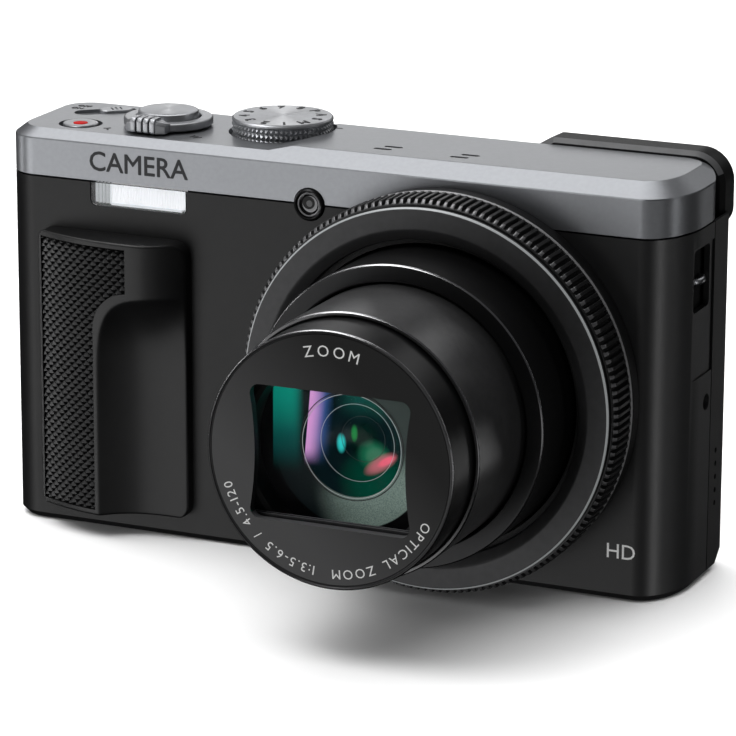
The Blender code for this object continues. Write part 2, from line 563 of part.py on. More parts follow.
def doors_and_sides(looks):
    """Battery door with its latch, terminal flap, strap lug and the screw in the side."""
    pin_x, pin_z = DOOR_PIN
    half = 0.6
    leaf = [(BAY_LOW[0], pin_z + half), (BAY_LOW[0], pin_z - half)]
    leaf += [(pin_x + half * math.cos(a), pin_z + half * math.sin(a))
             for a in [math.pi * (step / 6 - 0.5) for step in range(7)]]
    door = prism("battery_door", leaf, BAY_LOW[1], BAY_HIGH[1], "Y", (pin_x, 0.0, pin_z))
    slot = block("slot", (-49.2, -6.4, -1.0), (-44.4, 1.0, 3.0))
    finish(combine(door, [slot]), looks["black_plastic"], True)
    finish(block("battery_door_latch", (-48.8, -6.0, 0.35), (-44.8, -2.0, 1.35), 0.5),
           looks["black_plastic"])

    pin_x, pin_y = FLAP_PIN
    half = 0.55
    leaf = [(pin_x + half, 2.6), (pin_x - half, 2.6)]
    leaf += [(pin_x + half * math.cos(a), pin_y + half * math.sin(a))
             for a in [math.pi * (1.0 + step / 6) for step in range(7)]]
    flap = prism("terminal_door", leaf, FLAP_LOW, FLAP_HIGH, "Z", (pin_x, pin_y, 0.0))
    finish(flap, looks["black_plastic"], True)

    lug = block("strap_lug", (53.0, -5.2, 42.8), (54.3, 3.0, 53.6))
    combine(lug, [block("bar", (53.1, -4.2, 46.3), (55.8, 2.0, 49.1), 0.8)], "UNION")
    combine(lug, [block("strap_way", (54.0, -3.3, 40.0), (54.9, 1.1, 60.0))])
    finish(lug, looks["steel"])
    screw = turned("side_screw", [(0.0, 51.5), (0.6, 51.5), (0.6, 54.6), (1.0, 54.6), (1.0, 55.4),
                                  (0.0, 55.4)], (1.5, 28.4), "X", 16)
    finish(screw, looks["steel"], True)


def inside_parts(looks):
    """Battery, card, boards, sensor, motor, sockets and the tripod socket."""
    finish(block("battery", (-48.9, -9.7, 2.0), (-18.1, -0.7, 46.0), 1.0), looks["battery_case"])
    finish(block("memory_card", (-46.0, 0.0, 2.0), (-22.0, 2.1, 34.0)), looks["black_plastic"])
    finish(block("main_board", (-50.0, 7.6, 6.0), (50.0, 8.6, 50.0)), looks["circuit_board"])
    x, z = LENS
    finish(block("sensor_board", (x - 15.0, 6.3, z - 12.0), (x + 15.0, 7.3, z + 12.0)),
           looks["circuit_board"])
    finish(block("image_sensor", (x - 6.3, 4.9, z - 4.8), (x + 6.3, 6.0, z + 4.8)), looks["screen_glass"])
    motor = turned("zoom_motor", [(0.0, -9.0), (3.9, -9.0), (3.9, 1.5), (1.0, 1.5), (1.0, 3.0),
                                  (0.0, 3.0)], (49.3, 9.5), segments=20)
    finish(motor, looks["steel"], True)
    finish(block("usb_socket", (-54.4, -2.4, 24.0), (-49.4, 0.5, 31.6)), looks["steel"])
    finish(block("hdmi_socket", (-54.4, -2.7, 35.0), (-49.4, 0.5, 42.0)), looks["steel"])
    socket = turned("tripod_socket", [(0.0, 6.8), (5.2, 6.8), (5.2, 0.15), (3.05, 0.15), (3.05, 5.8),
                                      (0.0, 5.8)], SOCKET, "Z", 24)
    finish(socket, looks["steel"], True)


REAR_BUTTONS = {
    "af_lock_button": (-46.0, 46.5),
    "playback_button": (-30.5, 46.5),
    "quick_menu_button": (-46.0, 7.5),
    "display_button": (-30.5, 7.5),
}


def build():
    """Clears the scene and makes every piece."""
    for old in list(bpy.data.objects):
        bpy.data.objects.remove(old)
    looks = {
        "black_plastic": material("black_plastic", (0.02, 0.02, 0.021), 0.45),
        "black_metal": material("black_metal", (0.025, 0.025, 0.027), 0.3, 0.6),
        "silver_paint": material("silver_paint", (0.42, 0.43, 0.45), 0.38, 0.7),
        "machined_metal": material("machined_metal", (0.62, 0.63, 0.65), 0.28, 1.0),
        "rubber": material("rubber", (0.03, 0.03, 0.031), 0.7),
        "lens_glass": material("lens_glass", (0.05, 0.12, 0.13), 0.05),
        "screen_glass": material("screen_glass", (0.02, 0.02, 0.025), 0.08),
        "clear_plastic": material("clear_plastic", (0.85, 0.86, 0.88), 0.1),
        "chrome": material("chrome", (0.85, 0.85, 0.86), 0.08, 1.0),
        "steel": material("steel", (0.55, 0.56, 0.58), 0.3, 1.0),
        "circuit_board": material("circuit_board", (0.03, 0.14, 0.06), 0.5),
        "battery_case": material("battery_case", (0.05, 0.05, 0.055), 0.5),
    }
    front_cover(looks["black_plastic"])
    rear_cover(looks["black_plastic"])
    top_cover(looks["silver_paint"])
    grip(looks["black_plastic"], looks["rubber"])
    lens_parts(looks)
    barrier_blades(looks["black_plastic"])
    flash_and_lamp(looks)
    top_controls(looks)
    viewfinder(looks)
    back_controls(looks)
    doors_and_sides(looks)
    inside_parts(looks)


build()
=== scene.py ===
"""Looks of the compact digital camera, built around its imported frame.

Every size below is in millimetres in the frame's own axes: +X to the right of someone who looks
at the front, -Y out of the lens, +Z up. Places come from the boxes of the frame's nodes.
"""
import math

import bmesh
import bpy
from mathutils import Matrix, Vector


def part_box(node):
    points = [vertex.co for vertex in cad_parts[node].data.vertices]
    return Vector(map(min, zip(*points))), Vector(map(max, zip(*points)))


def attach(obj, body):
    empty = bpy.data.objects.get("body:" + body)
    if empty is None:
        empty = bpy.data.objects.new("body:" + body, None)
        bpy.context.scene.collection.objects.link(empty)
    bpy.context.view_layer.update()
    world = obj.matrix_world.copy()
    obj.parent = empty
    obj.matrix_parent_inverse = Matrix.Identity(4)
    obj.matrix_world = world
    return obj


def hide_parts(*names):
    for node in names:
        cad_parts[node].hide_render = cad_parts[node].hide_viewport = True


MM = 0.001

# Body
CORNER_LEFT = 5.3
CORNER_RIGHT = 6.4
CORNER_SWEEP = 1.75
EDGE_CHAMFER = 1.0
WALL = 1.2
SHOULDER = 62.1
TOP_LOW = 63.3
STEP_LEFT = -11.4
STEP_RIGHT = -7.6
SPLIT_GAP = 0.15
FINDER_CORNER = 7.0
FINDER_SEAM = 9.1

# Grip surface
GRIP_CREST = -31.5
GRIP_HEIGHT = 6.1
SCOOP_CENTRE = (-31.5, 34.0)
SCOOP_RADIUS = 5.6
SCOOP_LEFT = SCOOP_CENTRE[0] - SCOOP_RADIUS
SCOOP_TOP = SCOOP_CENTRE[1] + SCOOP_RADIUS
SCOOP_REACH = (14.5, 17.0)
SCOOP_FLOOR = 1.7
SCOOP_CORNER = 4.3
SCOOP_CURVE = 4.0

# Controls
SWITCH_ANGLE = math.radians(38.0)
LEVER_ANGLE = math.radians(-92.0)
MICROPHONES = ((6.0, -4.2), (18.8, -4.6))
REAR_BUTTONS = ("af_lock_button", "playback_button", "quick_menu_button", "display_button")

# Looks of the frame's nodes that stay in sight; the others take inner_plastic
NODE_LOOKS = {"battery": "battery_case", "main_board": "circuit_board", "sensor_board": "circuit_board",
              "image_sensor": "sensor_glass", "zoom_motor": "steel", "usb_socket": "steel",
              "hdmi_socket": "steel", "flash_tube": "clear_plastic", "zoom_lens": "lens_glass",
              "focus_lens": "lens_glass"}

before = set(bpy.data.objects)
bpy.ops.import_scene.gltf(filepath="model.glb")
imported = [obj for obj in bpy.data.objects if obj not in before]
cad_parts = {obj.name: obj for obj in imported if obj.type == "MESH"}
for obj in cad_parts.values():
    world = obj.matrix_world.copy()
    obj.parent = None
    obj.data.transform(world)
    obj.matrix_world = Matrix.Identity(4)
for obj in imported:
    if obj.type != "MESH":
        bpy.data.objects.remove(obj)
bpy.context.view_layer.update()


def box(node):
    """Lowest and highest corner of a node of the frame, in millimetres."""
    low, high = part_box(node)
    return low / MM, high / MM


def centre(node):
    """Middle of a node's box, in millimetres."""
    low, high = box(node)
    return (low + high) / 2


def radius(node, axis=0):
    """Half of a round node's width along an axis that crosses its own."""
    low, high = box(node)
    return (high[axis] - low[axis]) / 2


FRONT = box("front_cover")[0].y
SPLIT = box("front_cover")[1].y
HALF_WIDTH = box("front_cover")[1].x
FRONT_TOP = box("front_cover")[1].z
BACK = box("rear_cover")[1].y
SEAM = box("top_cover")[0].z
TOP_HIGH = box("top_cover")[1].z
LENS = centre("control_ring").xz
NOSE = box("barrel_front")[0].y
FACE_DEPTH = NOSE + 0.15
ROOM = Vector((SPLIT_GAP, SPLIT_GAP))
FLASH_LOW, FLASH_HIGH = box("flash_window")
LAMP = centre("af_lamp_bezel").xz
GRIP_LOW = (box("grip_frame")[0].x, box("grip_frame")[0].z)
GRIP_HIGH = (box("grip_frame")[1].x, box("grip_frame")[1].z)
DIAL = centre("mode_dial").xy
SHUTTER = centre("shutter_button").xy
RECORD_SPOT = centre("record_button").xy
SWITCH_SPOT = centre("power_switch").xy - 1.7 * Vector((math.cos(SWITCH_ANGLE), math.sin(SWITCH_ANGLE)))


# ---------------------------------------------------------------- outlines

def rounded(corners, steps=10):
    """Closed outline through corners (x, y, radius), with an arc at each corner."""
    outline = []
    for index, (x, y, bend) in enumerate(corners):
        here = Vector((x, y))
        if bend == 0:
            outline.append((x, y))
            continue
        before = (Vector(corners[index - 1][:2]) - here).normalized()
        after = (Vector(corners[(index + 1) % len(corners)][:2]) - here).normalized()
        half = before.angle(after) / 2
        middle = here + (before + after).normalized() * (bend / math.sin(half))
        first = here + before * (bend / math.tan(half)) - middle
        last = here + after * (bend / math.tan(half)) - middle
        start = math.atan2(first.y, first.x)
        turn = math.remainder(math.atan2(last.y, last.x) - start, math.tau)
        for step in range(steps + 1):
            angle = start + turn * step / steps
            outline.append((middle.x + bend * math.cos(angle), middle.y + bend * math.sin(angle)))
    return outline


def box_outline(low, high, bend=0.0, steps=6):
    """Rectangle between two corners, with round corners where a radius is given."""
    corners = [(low[0], low[1]), (high[0], low[1]), (high[0], high[1]), (low[0], high[1])]
    return rounded([(x, y, bend) for x, y in corners], steps)


def circle(middle, size, segments=64):
    """Outline of a round shape."""
    turns = [math.tau * index / segments for index in range(segments)]
    return [(middle[0] + size * math.cos(a), middle[1] + size * math.sin(a)) for a in turns]


def slot_outline(middle, half_length, size, angle, steps=10):
    """Slot with round ends, its long axis turned by angle."""
    outline = []
    for end in (0.0, math.pi):
        for step in range(steps + 1):
            turn = angle + end + math.pi * (step / steps - 0.5)
            outline.append((middle[0] + half_length * math.cos(angle + end) + size * math.cos(turn),
                            middle[1] + half_length * math.sin(angle + end) + size * math.sin(turn)))
    return outline


# ---------------------------------------------------------------- solids

def place(u, v, w, axis):
    """Point with outline coordinates u, v and height w, for a shape built along an axis."""
    if axis == "Z":
        return Vector((u, v, w))
    if axis == "Y":
        return Vector((u, w, v))
    return Vector((w, u, v))


def solid(name, points, faces):
    """Object from points in millimetres, with its faces turned outwards."""
    mesh = bpy.data.meshes.new(name)
    mesh.from_pydata([Vector(point) * MM for point in points], [], faces)
    shape = bmesh.new()
    shape.from_mesh(mesh)
    bmesh.ops.recalc_face_normals(shape, faces=shape.faces)
    shape.to_mesh(mesh)
    shape.free()
    made = bpy.data.objects.new(name, mesh)
    bpy.context.collection.objects.link(made)
    return made


def loft(name, rings, wrap=False):
    """Solid through closed rings of points; a ring of one point is a tip.

    The two ends are capped, or joined to each other where wrap is set.
    """
    points = [point for ring in rings for point in ring]
    starts = [sum(len(ring) for ring in rings[:index]) for index in range(len(rings))]
    count = max(len(ring) for ring in rings)
    faces = []
    pairs = list(zip(range(len(rings) - 1), range(1, len(rings))))
    if wrap:
        pairs.append((len(rings) - 1, 0))
    for one, two in pairs:
        for index in range(count):
            after = (index + 1) % count
            corners = [starts[one] + index % len(rings[one]), starts[one] + after % len(rings[one]),
                       starts[two] + after % len(rings[two]), starts[two] + index % len(rings[two])]
            corners = list(dict.fromkeys(corners))
            if len(corners) > 2:
                faces.append(corners)
    if not wrap:
        for end in (0, len(rings) - 1):
            if len(rings[end]) > 1:
                faces.append(list(range(starts[end], starts[end] + len(rings[end]))))
    return solid(name, points, faces)


def stack(name, layers, axis="Z"):
    """Solid through layers (outline, height)."""
    return loft(name, [[place(u, v, height, axis) for u, v in outline] for outline, height in layers])


def prism(name, outline, low, high, axis="Z"):
    """Outline extruded from low to high along an axis."""
    return stack(name, [(outline, low), (outline, high)], axis)


def turned(name, profile, middle, axis="Y", segments=128):
    """Profile of (radius, height) points turned about an axis; a ring unless it starts at radius 0."""
    rings = []
    for size, height in profile:
        outline = circle(middle, size, segments) if size > 0 else [tuple(middle)]
        rings.append([place(u, v, height, axis) for u, v in outline])
    return loft(name, rings, wrap=profile[0][0] > 0)


def toothed(name, rows, middle, teeth, shape, axis="Y"):
    """Ring whose rows (radius, height, depth) are cut by teeth.

    shape lists (place in the tooth's pitch, share of the depth) over one tooth.
    """
    rings = []
    for size, height, depth in rows:
        ring = []
        for tooth in range(teeth):
            for share, cut in shape:
                angle = math.tau * (tooth + share) / teeth
                reach = size - depth * cut
                ring.append(place(middle[0] + reach * math.cos(angle),
                                  middle[1] + reach * math.sin(angle), height, axis))
        rings.append(ring)
    return loft(name, rings, wrap=True)


def bake(target):
    """Replaces an object's mesh by the one its modifiers give."""
    graph = bpy.context.evaluated_depsgraph_get()
    result = bpy.data.meshes.new_from_object(target.evaluated_get(graph))
    target.modifiers.clear()
    target.data = result
    return target


def combine(target, others, operation="DIFFERENCE"):
    """Cuts the other objects from the target, or joins or intersects them, and removes them."""
    for other in others:
        change = target.modifiers.new(other.name, "BOOLEAN")
        change.operation = operation
        change.object = other
        change.solver = "EXACT"
        bake(target)
        bpy.data.objects.remove(other)
    return target


def join(name, parts):
    """One object that holds several closed shapes."""
    shape = bmesh.new()
    for part in parts:
        shape.from_mesh(part.data)
        bpy.data.objects.remove(part)
    mesh = bpy.data.meshes.new(name)
    shape.to_mesh(mesh)
    shape.free()
    made = bpy.data.objects.new(name, mesh)
    bpy.context.collection.objects.link(made)
    return made


def soften(target, width, segments=2, angle=28.0):
    """Rounds every edge that is sharper than an angle."""
    change = target.modifiers.new("edges", "BEVEL")
    change.width = width * MM
    change.segments = segments
    change.limit_method = "ANGLE"
    change.angle_limit = math.radians(angle)
    change.miter_outer = "MITER_ARC"
    return bake(target)


def shade(target, angle=38.0):
    """Smooth shading that leaves large flat faces flat."""
    target.data.shade_smooth()
    target.data.set_sharp_from_angle(angle=math.radians(angle))
    change = target.modifiers.new("normals", "WEIGHTED_NORMAL")
    change.keep_sharp = True
    change.weight = 60
    return bake(target)


def piece(made, slot, body="root", nodes=(), origin=None, smooth=38.0, look=None):
    """Finishes a piece: shading, origin, material, the body it rides on and the nodes it stands for."""
    if smooth:
        shade(made, smooth)
    if origin is not None:
        made.data.transform(Matrix.Translation(-Vector(origin) * MM))
        made.location = Vector(origin) * MM
    made.data.materials.clear()
    made.data.materials.append(LOOKS[look or slot])
    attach(made, body)
    if nodes:
        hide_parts(*nodes)
    return made


def repaint(made, look, test):
    """Gives a second material to the faces for which test(centre, normal) holds, in the piece's axes."""
    made.data.materials.append(LOOKS[look])
    index = len(made.data.materials) - 1
    for face in made.data.polygons:
        if test(face.center / MM, face.normal):
            face.material_index = index


def lens_origin(y):
    """Point on the lens axis at a depth."""
    return Vector((LENS.x, y, LENS.y))


# ---------------------------------------------------------------- lettering

def glyphs(text, size, thickness=0.04):
    """Mesh of a text in millimetres, its baseline along +X and its face towards +Z, and its width."""
    curve = bpy.data.curves.new("glyph", "FONT")
    curve.body = text
    curve.size = size
    curve.extrude = thickness / 2
    curve.resolution_u = 3
    holder = bpy.data.objects.new("glyph", curve)
    bpy.context.collection.objects.link(holder)
    graph = bpy.context.evaluated_depsgraph_get()
    mesh = bpy.data.meshes.new_from_object(holder.evaluated_get(graph))
    bpy.data.objects.remove(holder)
    across = [vertex.co.x for vertex in mesh.vertices]
    return mesh, min(across), max(across)


def lettering(name, items, slot, body, look="print_dark", weight=0.0):
    """One piece from items (text, size, matrix), each matrix placing a text's baseline middle.

    A weight thickens the strokes by copies of the text that lie to its four sides.
    """
    shifts = [(weight, 0.0), (-weight, 0.0), (0.0, weight), (0.0, -weight)] if weight else [(0.0, 0.0)]
    shape = bmesh.new()
    for text, size, matrix in items:
        for index, (right, up) in enumerate(shifts):
            mesh, low, high = glyphs(text, size)
            mesh.transform(Matrix.Translation((right - (low + high) / 2, up, 0.006 * index)))
            mesh.transform(matrix)
            shape.from_mesh(mesh)
    shape.transform(Matrix.Scale(MM, 4))
    mesh = bpy.data.meshes.new(name)
    shape.to_mesh(mesh)
    shape.free()
    made = bpy.data.objects.new(name, mesh)
    bpy.context.collection.objects.link(made)
    return piece(made, slot, body, look=look, smooth=None)


def facing(position, right, up):
    """Matrix that lays text at a position, with its reading direction and its up direction."""
    right = Vector(right).normalized()
    up = Vector(up).normalized()
    matrix = Matrix((right, up, right.cross(up))).transposed().to_4x4()
    matrix.translation = Vector(position)
    return matrix


def arc_items(text, size, reach, start, gap=0.42, space=1.1):
    """Items for a text set clockwise round the lens axis from a start angle, its tops outwards."""
    items = []
    angle = start
    for letter in text:
        if letter == " ":
            angle -= space / reach
            continue
        low, high = glyphs(letter, size)[1:]
        half = (high - low) / 2 / reach
        angle -= half
        outward = Vector((math.cos(angle), 0.0, math.sin(angle)))
        along = Vector((math.sin(angle), 0.0, -math.cos(angle)))
        spot = Vector((LENS.x, FACE_DEPTH, LENS.y)) + outward * reach
        items.append((letter, size, facing(spot, along, outward)))
        angle -= half + gap / reach
    return items


# ---------------------------------------------------------------- materials

LOOKS = {}

# Slopes of the reflections painted in the lens, set for the photo's point of view
SIGHT_LEAN = (0.444, 0.306)
BAND_SLOPE = -0.088
GLINT_SLOPE = -0.55


def node(tree, kind, inputs, output=0, **settings):
    """Adds a shader node with its settings and its linked or constant inputs, and gives one output."""
    made = tree.nodes.new("ShaderNode" + kind)
    for name, value in settings.items():
        setattr(made, name, value)
    for name, value in inputs.items():
        if isinstance(value, bpy.types.NodeSocket):
            tree.links.new(value, made.inputs[name])
        else:
            made.inputs[name].default_value = value
    return made.outputs[output]


def maths(tree, operation, *values):
    """Result of a math node on values or sockets."""
    return node(tree, "Math", dict(enumerate(values)), operation=operation)


def own_place(tree):
    """Place on the surface in the piece's own axes, in metres."""
    return node(tree, "TexCoord", {}, "Object")


def noise(tree, size, detail=3.0, stretch=(1.0, 1.0, 1.0)):
    """Noise in the piece's own axes with features of about size millimetres."""
    mapped = node(tree, "Mapping", {"Vector": own_place(tree), "Scale": stretch})
    return node(tree, "TexNoise", {"Vector": mapped, "Scale": 1.0 / (size * MM), "Detail": detail}, "Fac")


def remap(tree, value, low, high, start=0.3, end=0.7, **settings):
    """Value spread from start..end to low..high."""
    inputs = {"Value": value, "From Min": start, "From Max": end, "To Min": low, "To Max": high}
    return node(tree, "MapRange", inputs, "Result", **settings)


def blend_colours(tree, share, first, second):
    """Colour between two others by a share."""
    made = {"Factor": share}
    for side, colour in (("A", first), ("B", second)):
        made[side] = (*colour, 1.0) if isinstance(colour, tuple) else colour
    return node(tree, "Mix", made, "Result", data_type="RGBA")


def bump(tree, height, depth, normal=None):
    """Normal from a height in millimetres, on top of another normal where one is given."""
    inputs = {"Height": height, "Distance": depth * MM}
    if normal is not None:
        inputs["Normal"] = normal
    return node(tree, "Bump", inputs, "Normal")


def surface(name, colour, roughness, metallic=0.0, grain=0.25, depth=0.008, mottle=0.12, spread=0.05,
            stretch=(1.0, 1.0, 1.0), **sockets):
    """Material with fine grain in its bump and slight variation in colour and roughness."""
    made = bpy.data.materials.new(name)
    made.use_nodes = True
    tree = made.node_tree
    shader = tree.nodes["Principled BSDF"]
    shader.inputs["Metallic"].default_value = metallic
    for socket, value in sockets.items():
        shader.inputs[socket.replace("_", " ")].default_value = value
    fine = noise(tree, grain, 3.0, stretch)
    coarse = noise(tree, grain * 14.0, 2.0)
    darker = tuple(channel * (1.0 - mottle) for channel in colour)
    lighter = tuple(min(channel * (1.0 + mottle), 1.0) for channel in colour)
    share = remap(tree, coarse, 0.0, 1.0)
    tree.links.new(blend_colours(tree, share, darker, lighter), shader.inputs["Base Color"])
    tree.links.new(remap(tree, fine, roughness - spread, roughness + spread), shader.inputs["Roughness"])
    tree.links.new(bump(tree, fine, depth), shader.inputs["Normal"])
    LOOKS[name] = made
    return made


def groove(look, axis, pitch, depth):
    """Adds turned grooves round an axis to a material, on top of its own bump."""
    tree = look.node_tree
    shader = tree.nodes["Principled BSDF"]
    keep = tuple(0.0 if letter == axis else 1.0 for letter in "XYZ")
    flat = node(tree, "VectorMath", {0: own_place(tree), 1: keep}, "Vector", operation="MULTIPLY")
    reach = node(tree, "VectorMath", {0: flat}, "Value", operation="LENGTH")
    wave = maths(tree, "SINE", maths(tree, "MULTIPLY", reach, math.tau / (pitch * MM)))
    before = shader.inputs["Normal"].links[0].from_socket
    tree.links.new(bump(tree, wave, depth, before), shader.inputs["Normal"])


def brush(look, axis, amount=0.75):
    """Stretches a material's highlights across the circles that a lathe leaves."""
    tree = look.node_tree
    shader = tree.nodes["Principled BSDF"]
    shader.inputs["Anisotropic"].default_value = amount
    tangent = node(tree, "Tangent", {}, "Tangent", direction_type="RADIAL", axis=axis)
    tree.links.new(tangent, shader.inputs["Tangent"])


def painted_light_gradient(name, first, second, reach):
    """Painted light and shade: the colour of a look changes from upper right to lower left across the piece's
    own axes.
    """
    tree = LOOKS[name].node_tree
    x, z = lens_place(tree, (0.0, 0.0))
    half = reach * 1.414
    share = remap(tree, maths(tree, "ADD", x, z), 1.0, 0.0, -half, half)
    shader = tree.nodes["Principled BSDF"]
    tree.links.new(blend_colours(tree, share, first, second), shader.inputs["Base Color"])


def lens_place(tree, lean=SIGHT_LEAN):
    """X and Z of the piece's own axes in millimetres, moved along with depth by a lean."""
    here = own_place(tree)
    return [node(tree, "VectorMath", {0: here, 1: Vector(along) / MM}, "Value", operation="DOT_PRODUCT")
            for along in ((1.0, lean[0], 0.0), (0.0, lean[1], 1.0))]


def step_mask(tree, value, start, end):
    """0 below start and 1 beyond end, smooth between; start may be above end."""
    low, high = (0.0, 1.0) if start < end else (1.0, 0.0)
    return remap(tree, value, low, high, min(start, end), max(start, end),
                 interpolation_type="SMOOTHSTEP")


def spot_mask(tree, x, z, middle, reach, soft=0.5, outside=False):
    """1 inside an ellipse and 0 outside it, or the reverse, smooth over its outer part."""
    squares = []
    for value, offset, size in ((x, middle[0], reach[0]), (z, middle[1], reach[1])):
        share = maths(tree, "MULTIPLY_ADD", value, 1.0 / size, -offset / size)
        squares.append(maths(tree, "MULTIPLY", share, share))
    total = maths(tree, "ADD", *squares)
    if outside:
        return step_mask(tree, total, 1.0 - soft, 1.0)
    return step_mask(tree, total, 1.0, 1.0 - soft)


def rule_mask(tree, x, z, kind, *values):
    """Mask of one rule: a spot, a tilted spot, or a step along x, along z or across the bands."""
    if kind == "spot":
        return spot_mask(tree, x, z, *values)
    if kind == "tilted":
        return spot_mask(tree, x, maths(tree, "MULTIPLY_ADD", x, GLINT_SLOPE, z), *values)
    if kind == "band":
        return step_mask(tree, maths(tree, "MULTIPLY_ADD", z, BAND_SLOPE, x), *values)
    return step_mask(tree, x if kind == "x" else z, *values)


def painted(name, ground, layers, roughness, glow, grain=0.25):
    """Material with layers (colour, rules) on a ground; a layer shows where all its rules hold. The layers
    paint reflections, glints and shade, and the colour also glows.
    """
    made = surface(name, (0.01, 0.01, 0.01), roughness, 0.0, grain, 0.001, 0.0, 0.01,
                   Specular_IOR_Level=0.1)
    tree = made.node_tree
    shader = tree.nodes["Principled BSDF"]
    x, z = lens_place(tree)
    colour = blend_colours(tree, remap(tree, noise(tree, 0.16, 2.0), 0.0, 1.0), *ground)
    for layer, *rules in layers:
        mask = rule_mask(tree, x, z, *rules[0])
        for rule in rules[1:]:
            mask = maths(tree, "MULTIPLY", mask, rule_mask(tree, x, z, *rule))
        colour = blend_colours(tree, mask, colour, layer)
    tree.links.new(colour, shader.inputs["Base Color"])
    tree.links.new(colour, shader.inputs["Emission Color"])
    shader.inputs["Emission Strength"].default_value = glow
    return made


def lens_looks():
    """The surfaces in the lens, with painted reflections and shade: a teal and a rose band of painted
    reflection, a grey-green baffle mostly under painted shade, and small painted glints.
    """
    left, reflection_bands_start = ("x", -9.0, -8.88), ("band", -4.0, -3.88)
    # Painted shade: near black where no light falls
    dark = (0.0006, 0.0006, 0.0007)
    # Painted reflections of lamps: a blue band and a rose band
    reflection_bands = [((0.030, 0.075, 0.22), reflection_bands_start, ("band", 0.1, -2.6), ("z", -1.6, 3.5)),
             ((0.44, 0.21, 0.43), reflection_bands_start, ("band", -1.2, -3.7), ("z", -1.4, 1.6))]
    # Baffle: a grey-green ground with painted shade over most of it, painted teal reflections and the painted
    # reflection bands
    painted("lens_baffle_paint", ((0.070, 0.098, 0.086), (0.140, 0.185, 0.163)), [
        ((0.0030, 0.0050, 0.0055), ("spot", (8.6, -5.2), (11.5, 9.5), 1.0, True)),
        ((0.020, 0.027, 0.025), ("x", 1.5, 6.0), ("z", 0.0, 4.0)),
        (dark, ("spot", (3.3, 2.3), (12.2, 12.2), 0.03, True)),
        ((0.001, 0.040, 0.036), left, ("x", -3.9, -5.6), ("z", -3.0, 2.0)),
        ((0.001, 0.18, 0.130), left, ("x", -3.9, -6.2), ("z", 1.0, 10.0)),
        (dark, ("x", -8.88, -9.0)),
        *reflection_bands,
    ], 0.6, 0.7)
    # Inner elements: a dark ground with painted reflections in green, teal and rose, and small painted glints
    painted("lens_coating", ((0.0010, 0.0045, 0.0060), (0.0014, 0.0060, 0.0075)), [
        ((0.003, 0.030, 0.024), ("z", 5.5, 10.0), ("x", 0.5, 4.0)),
        ((0.0, 0.034, 0.019), ("spot", (7.6, -2.6), (7.0, 5.6), 1.0)),
        ((0.0, 0.006, 0.004), ("spot", (5.4, 3.4), (2.9, 3.2), 0.7)),
        *reflection_bands,
        ((0.008, 0.10, 0.050), ("spot", (6.9, 1.3), (3.0, 2.7), 1.0)),
        ((0.035, 0.13, 0.075), ("spot", (7.3, 1.2), (2.0, 1.7), 1.0)),
        ((0.36, 0.10, 0.12), ("tilted", (8.0, -4.15), (2.9, 1.5), 1.0)),
        ((0.62, 0.10, 0.15), ("tilted", (8.9, -4.15), (1.7, 0.8), 1.0)),
        ((0.004, 0.15, 0.03), ("spot", (3.85, 4.3), (0.62, 1.5), 1.0)),
        ((0.02, 0.42, 0.40), ("spot", (1.8, 2.6), (0.85, 1.7), 1.0)),
    ], 0.2, 0.8, 2.0)


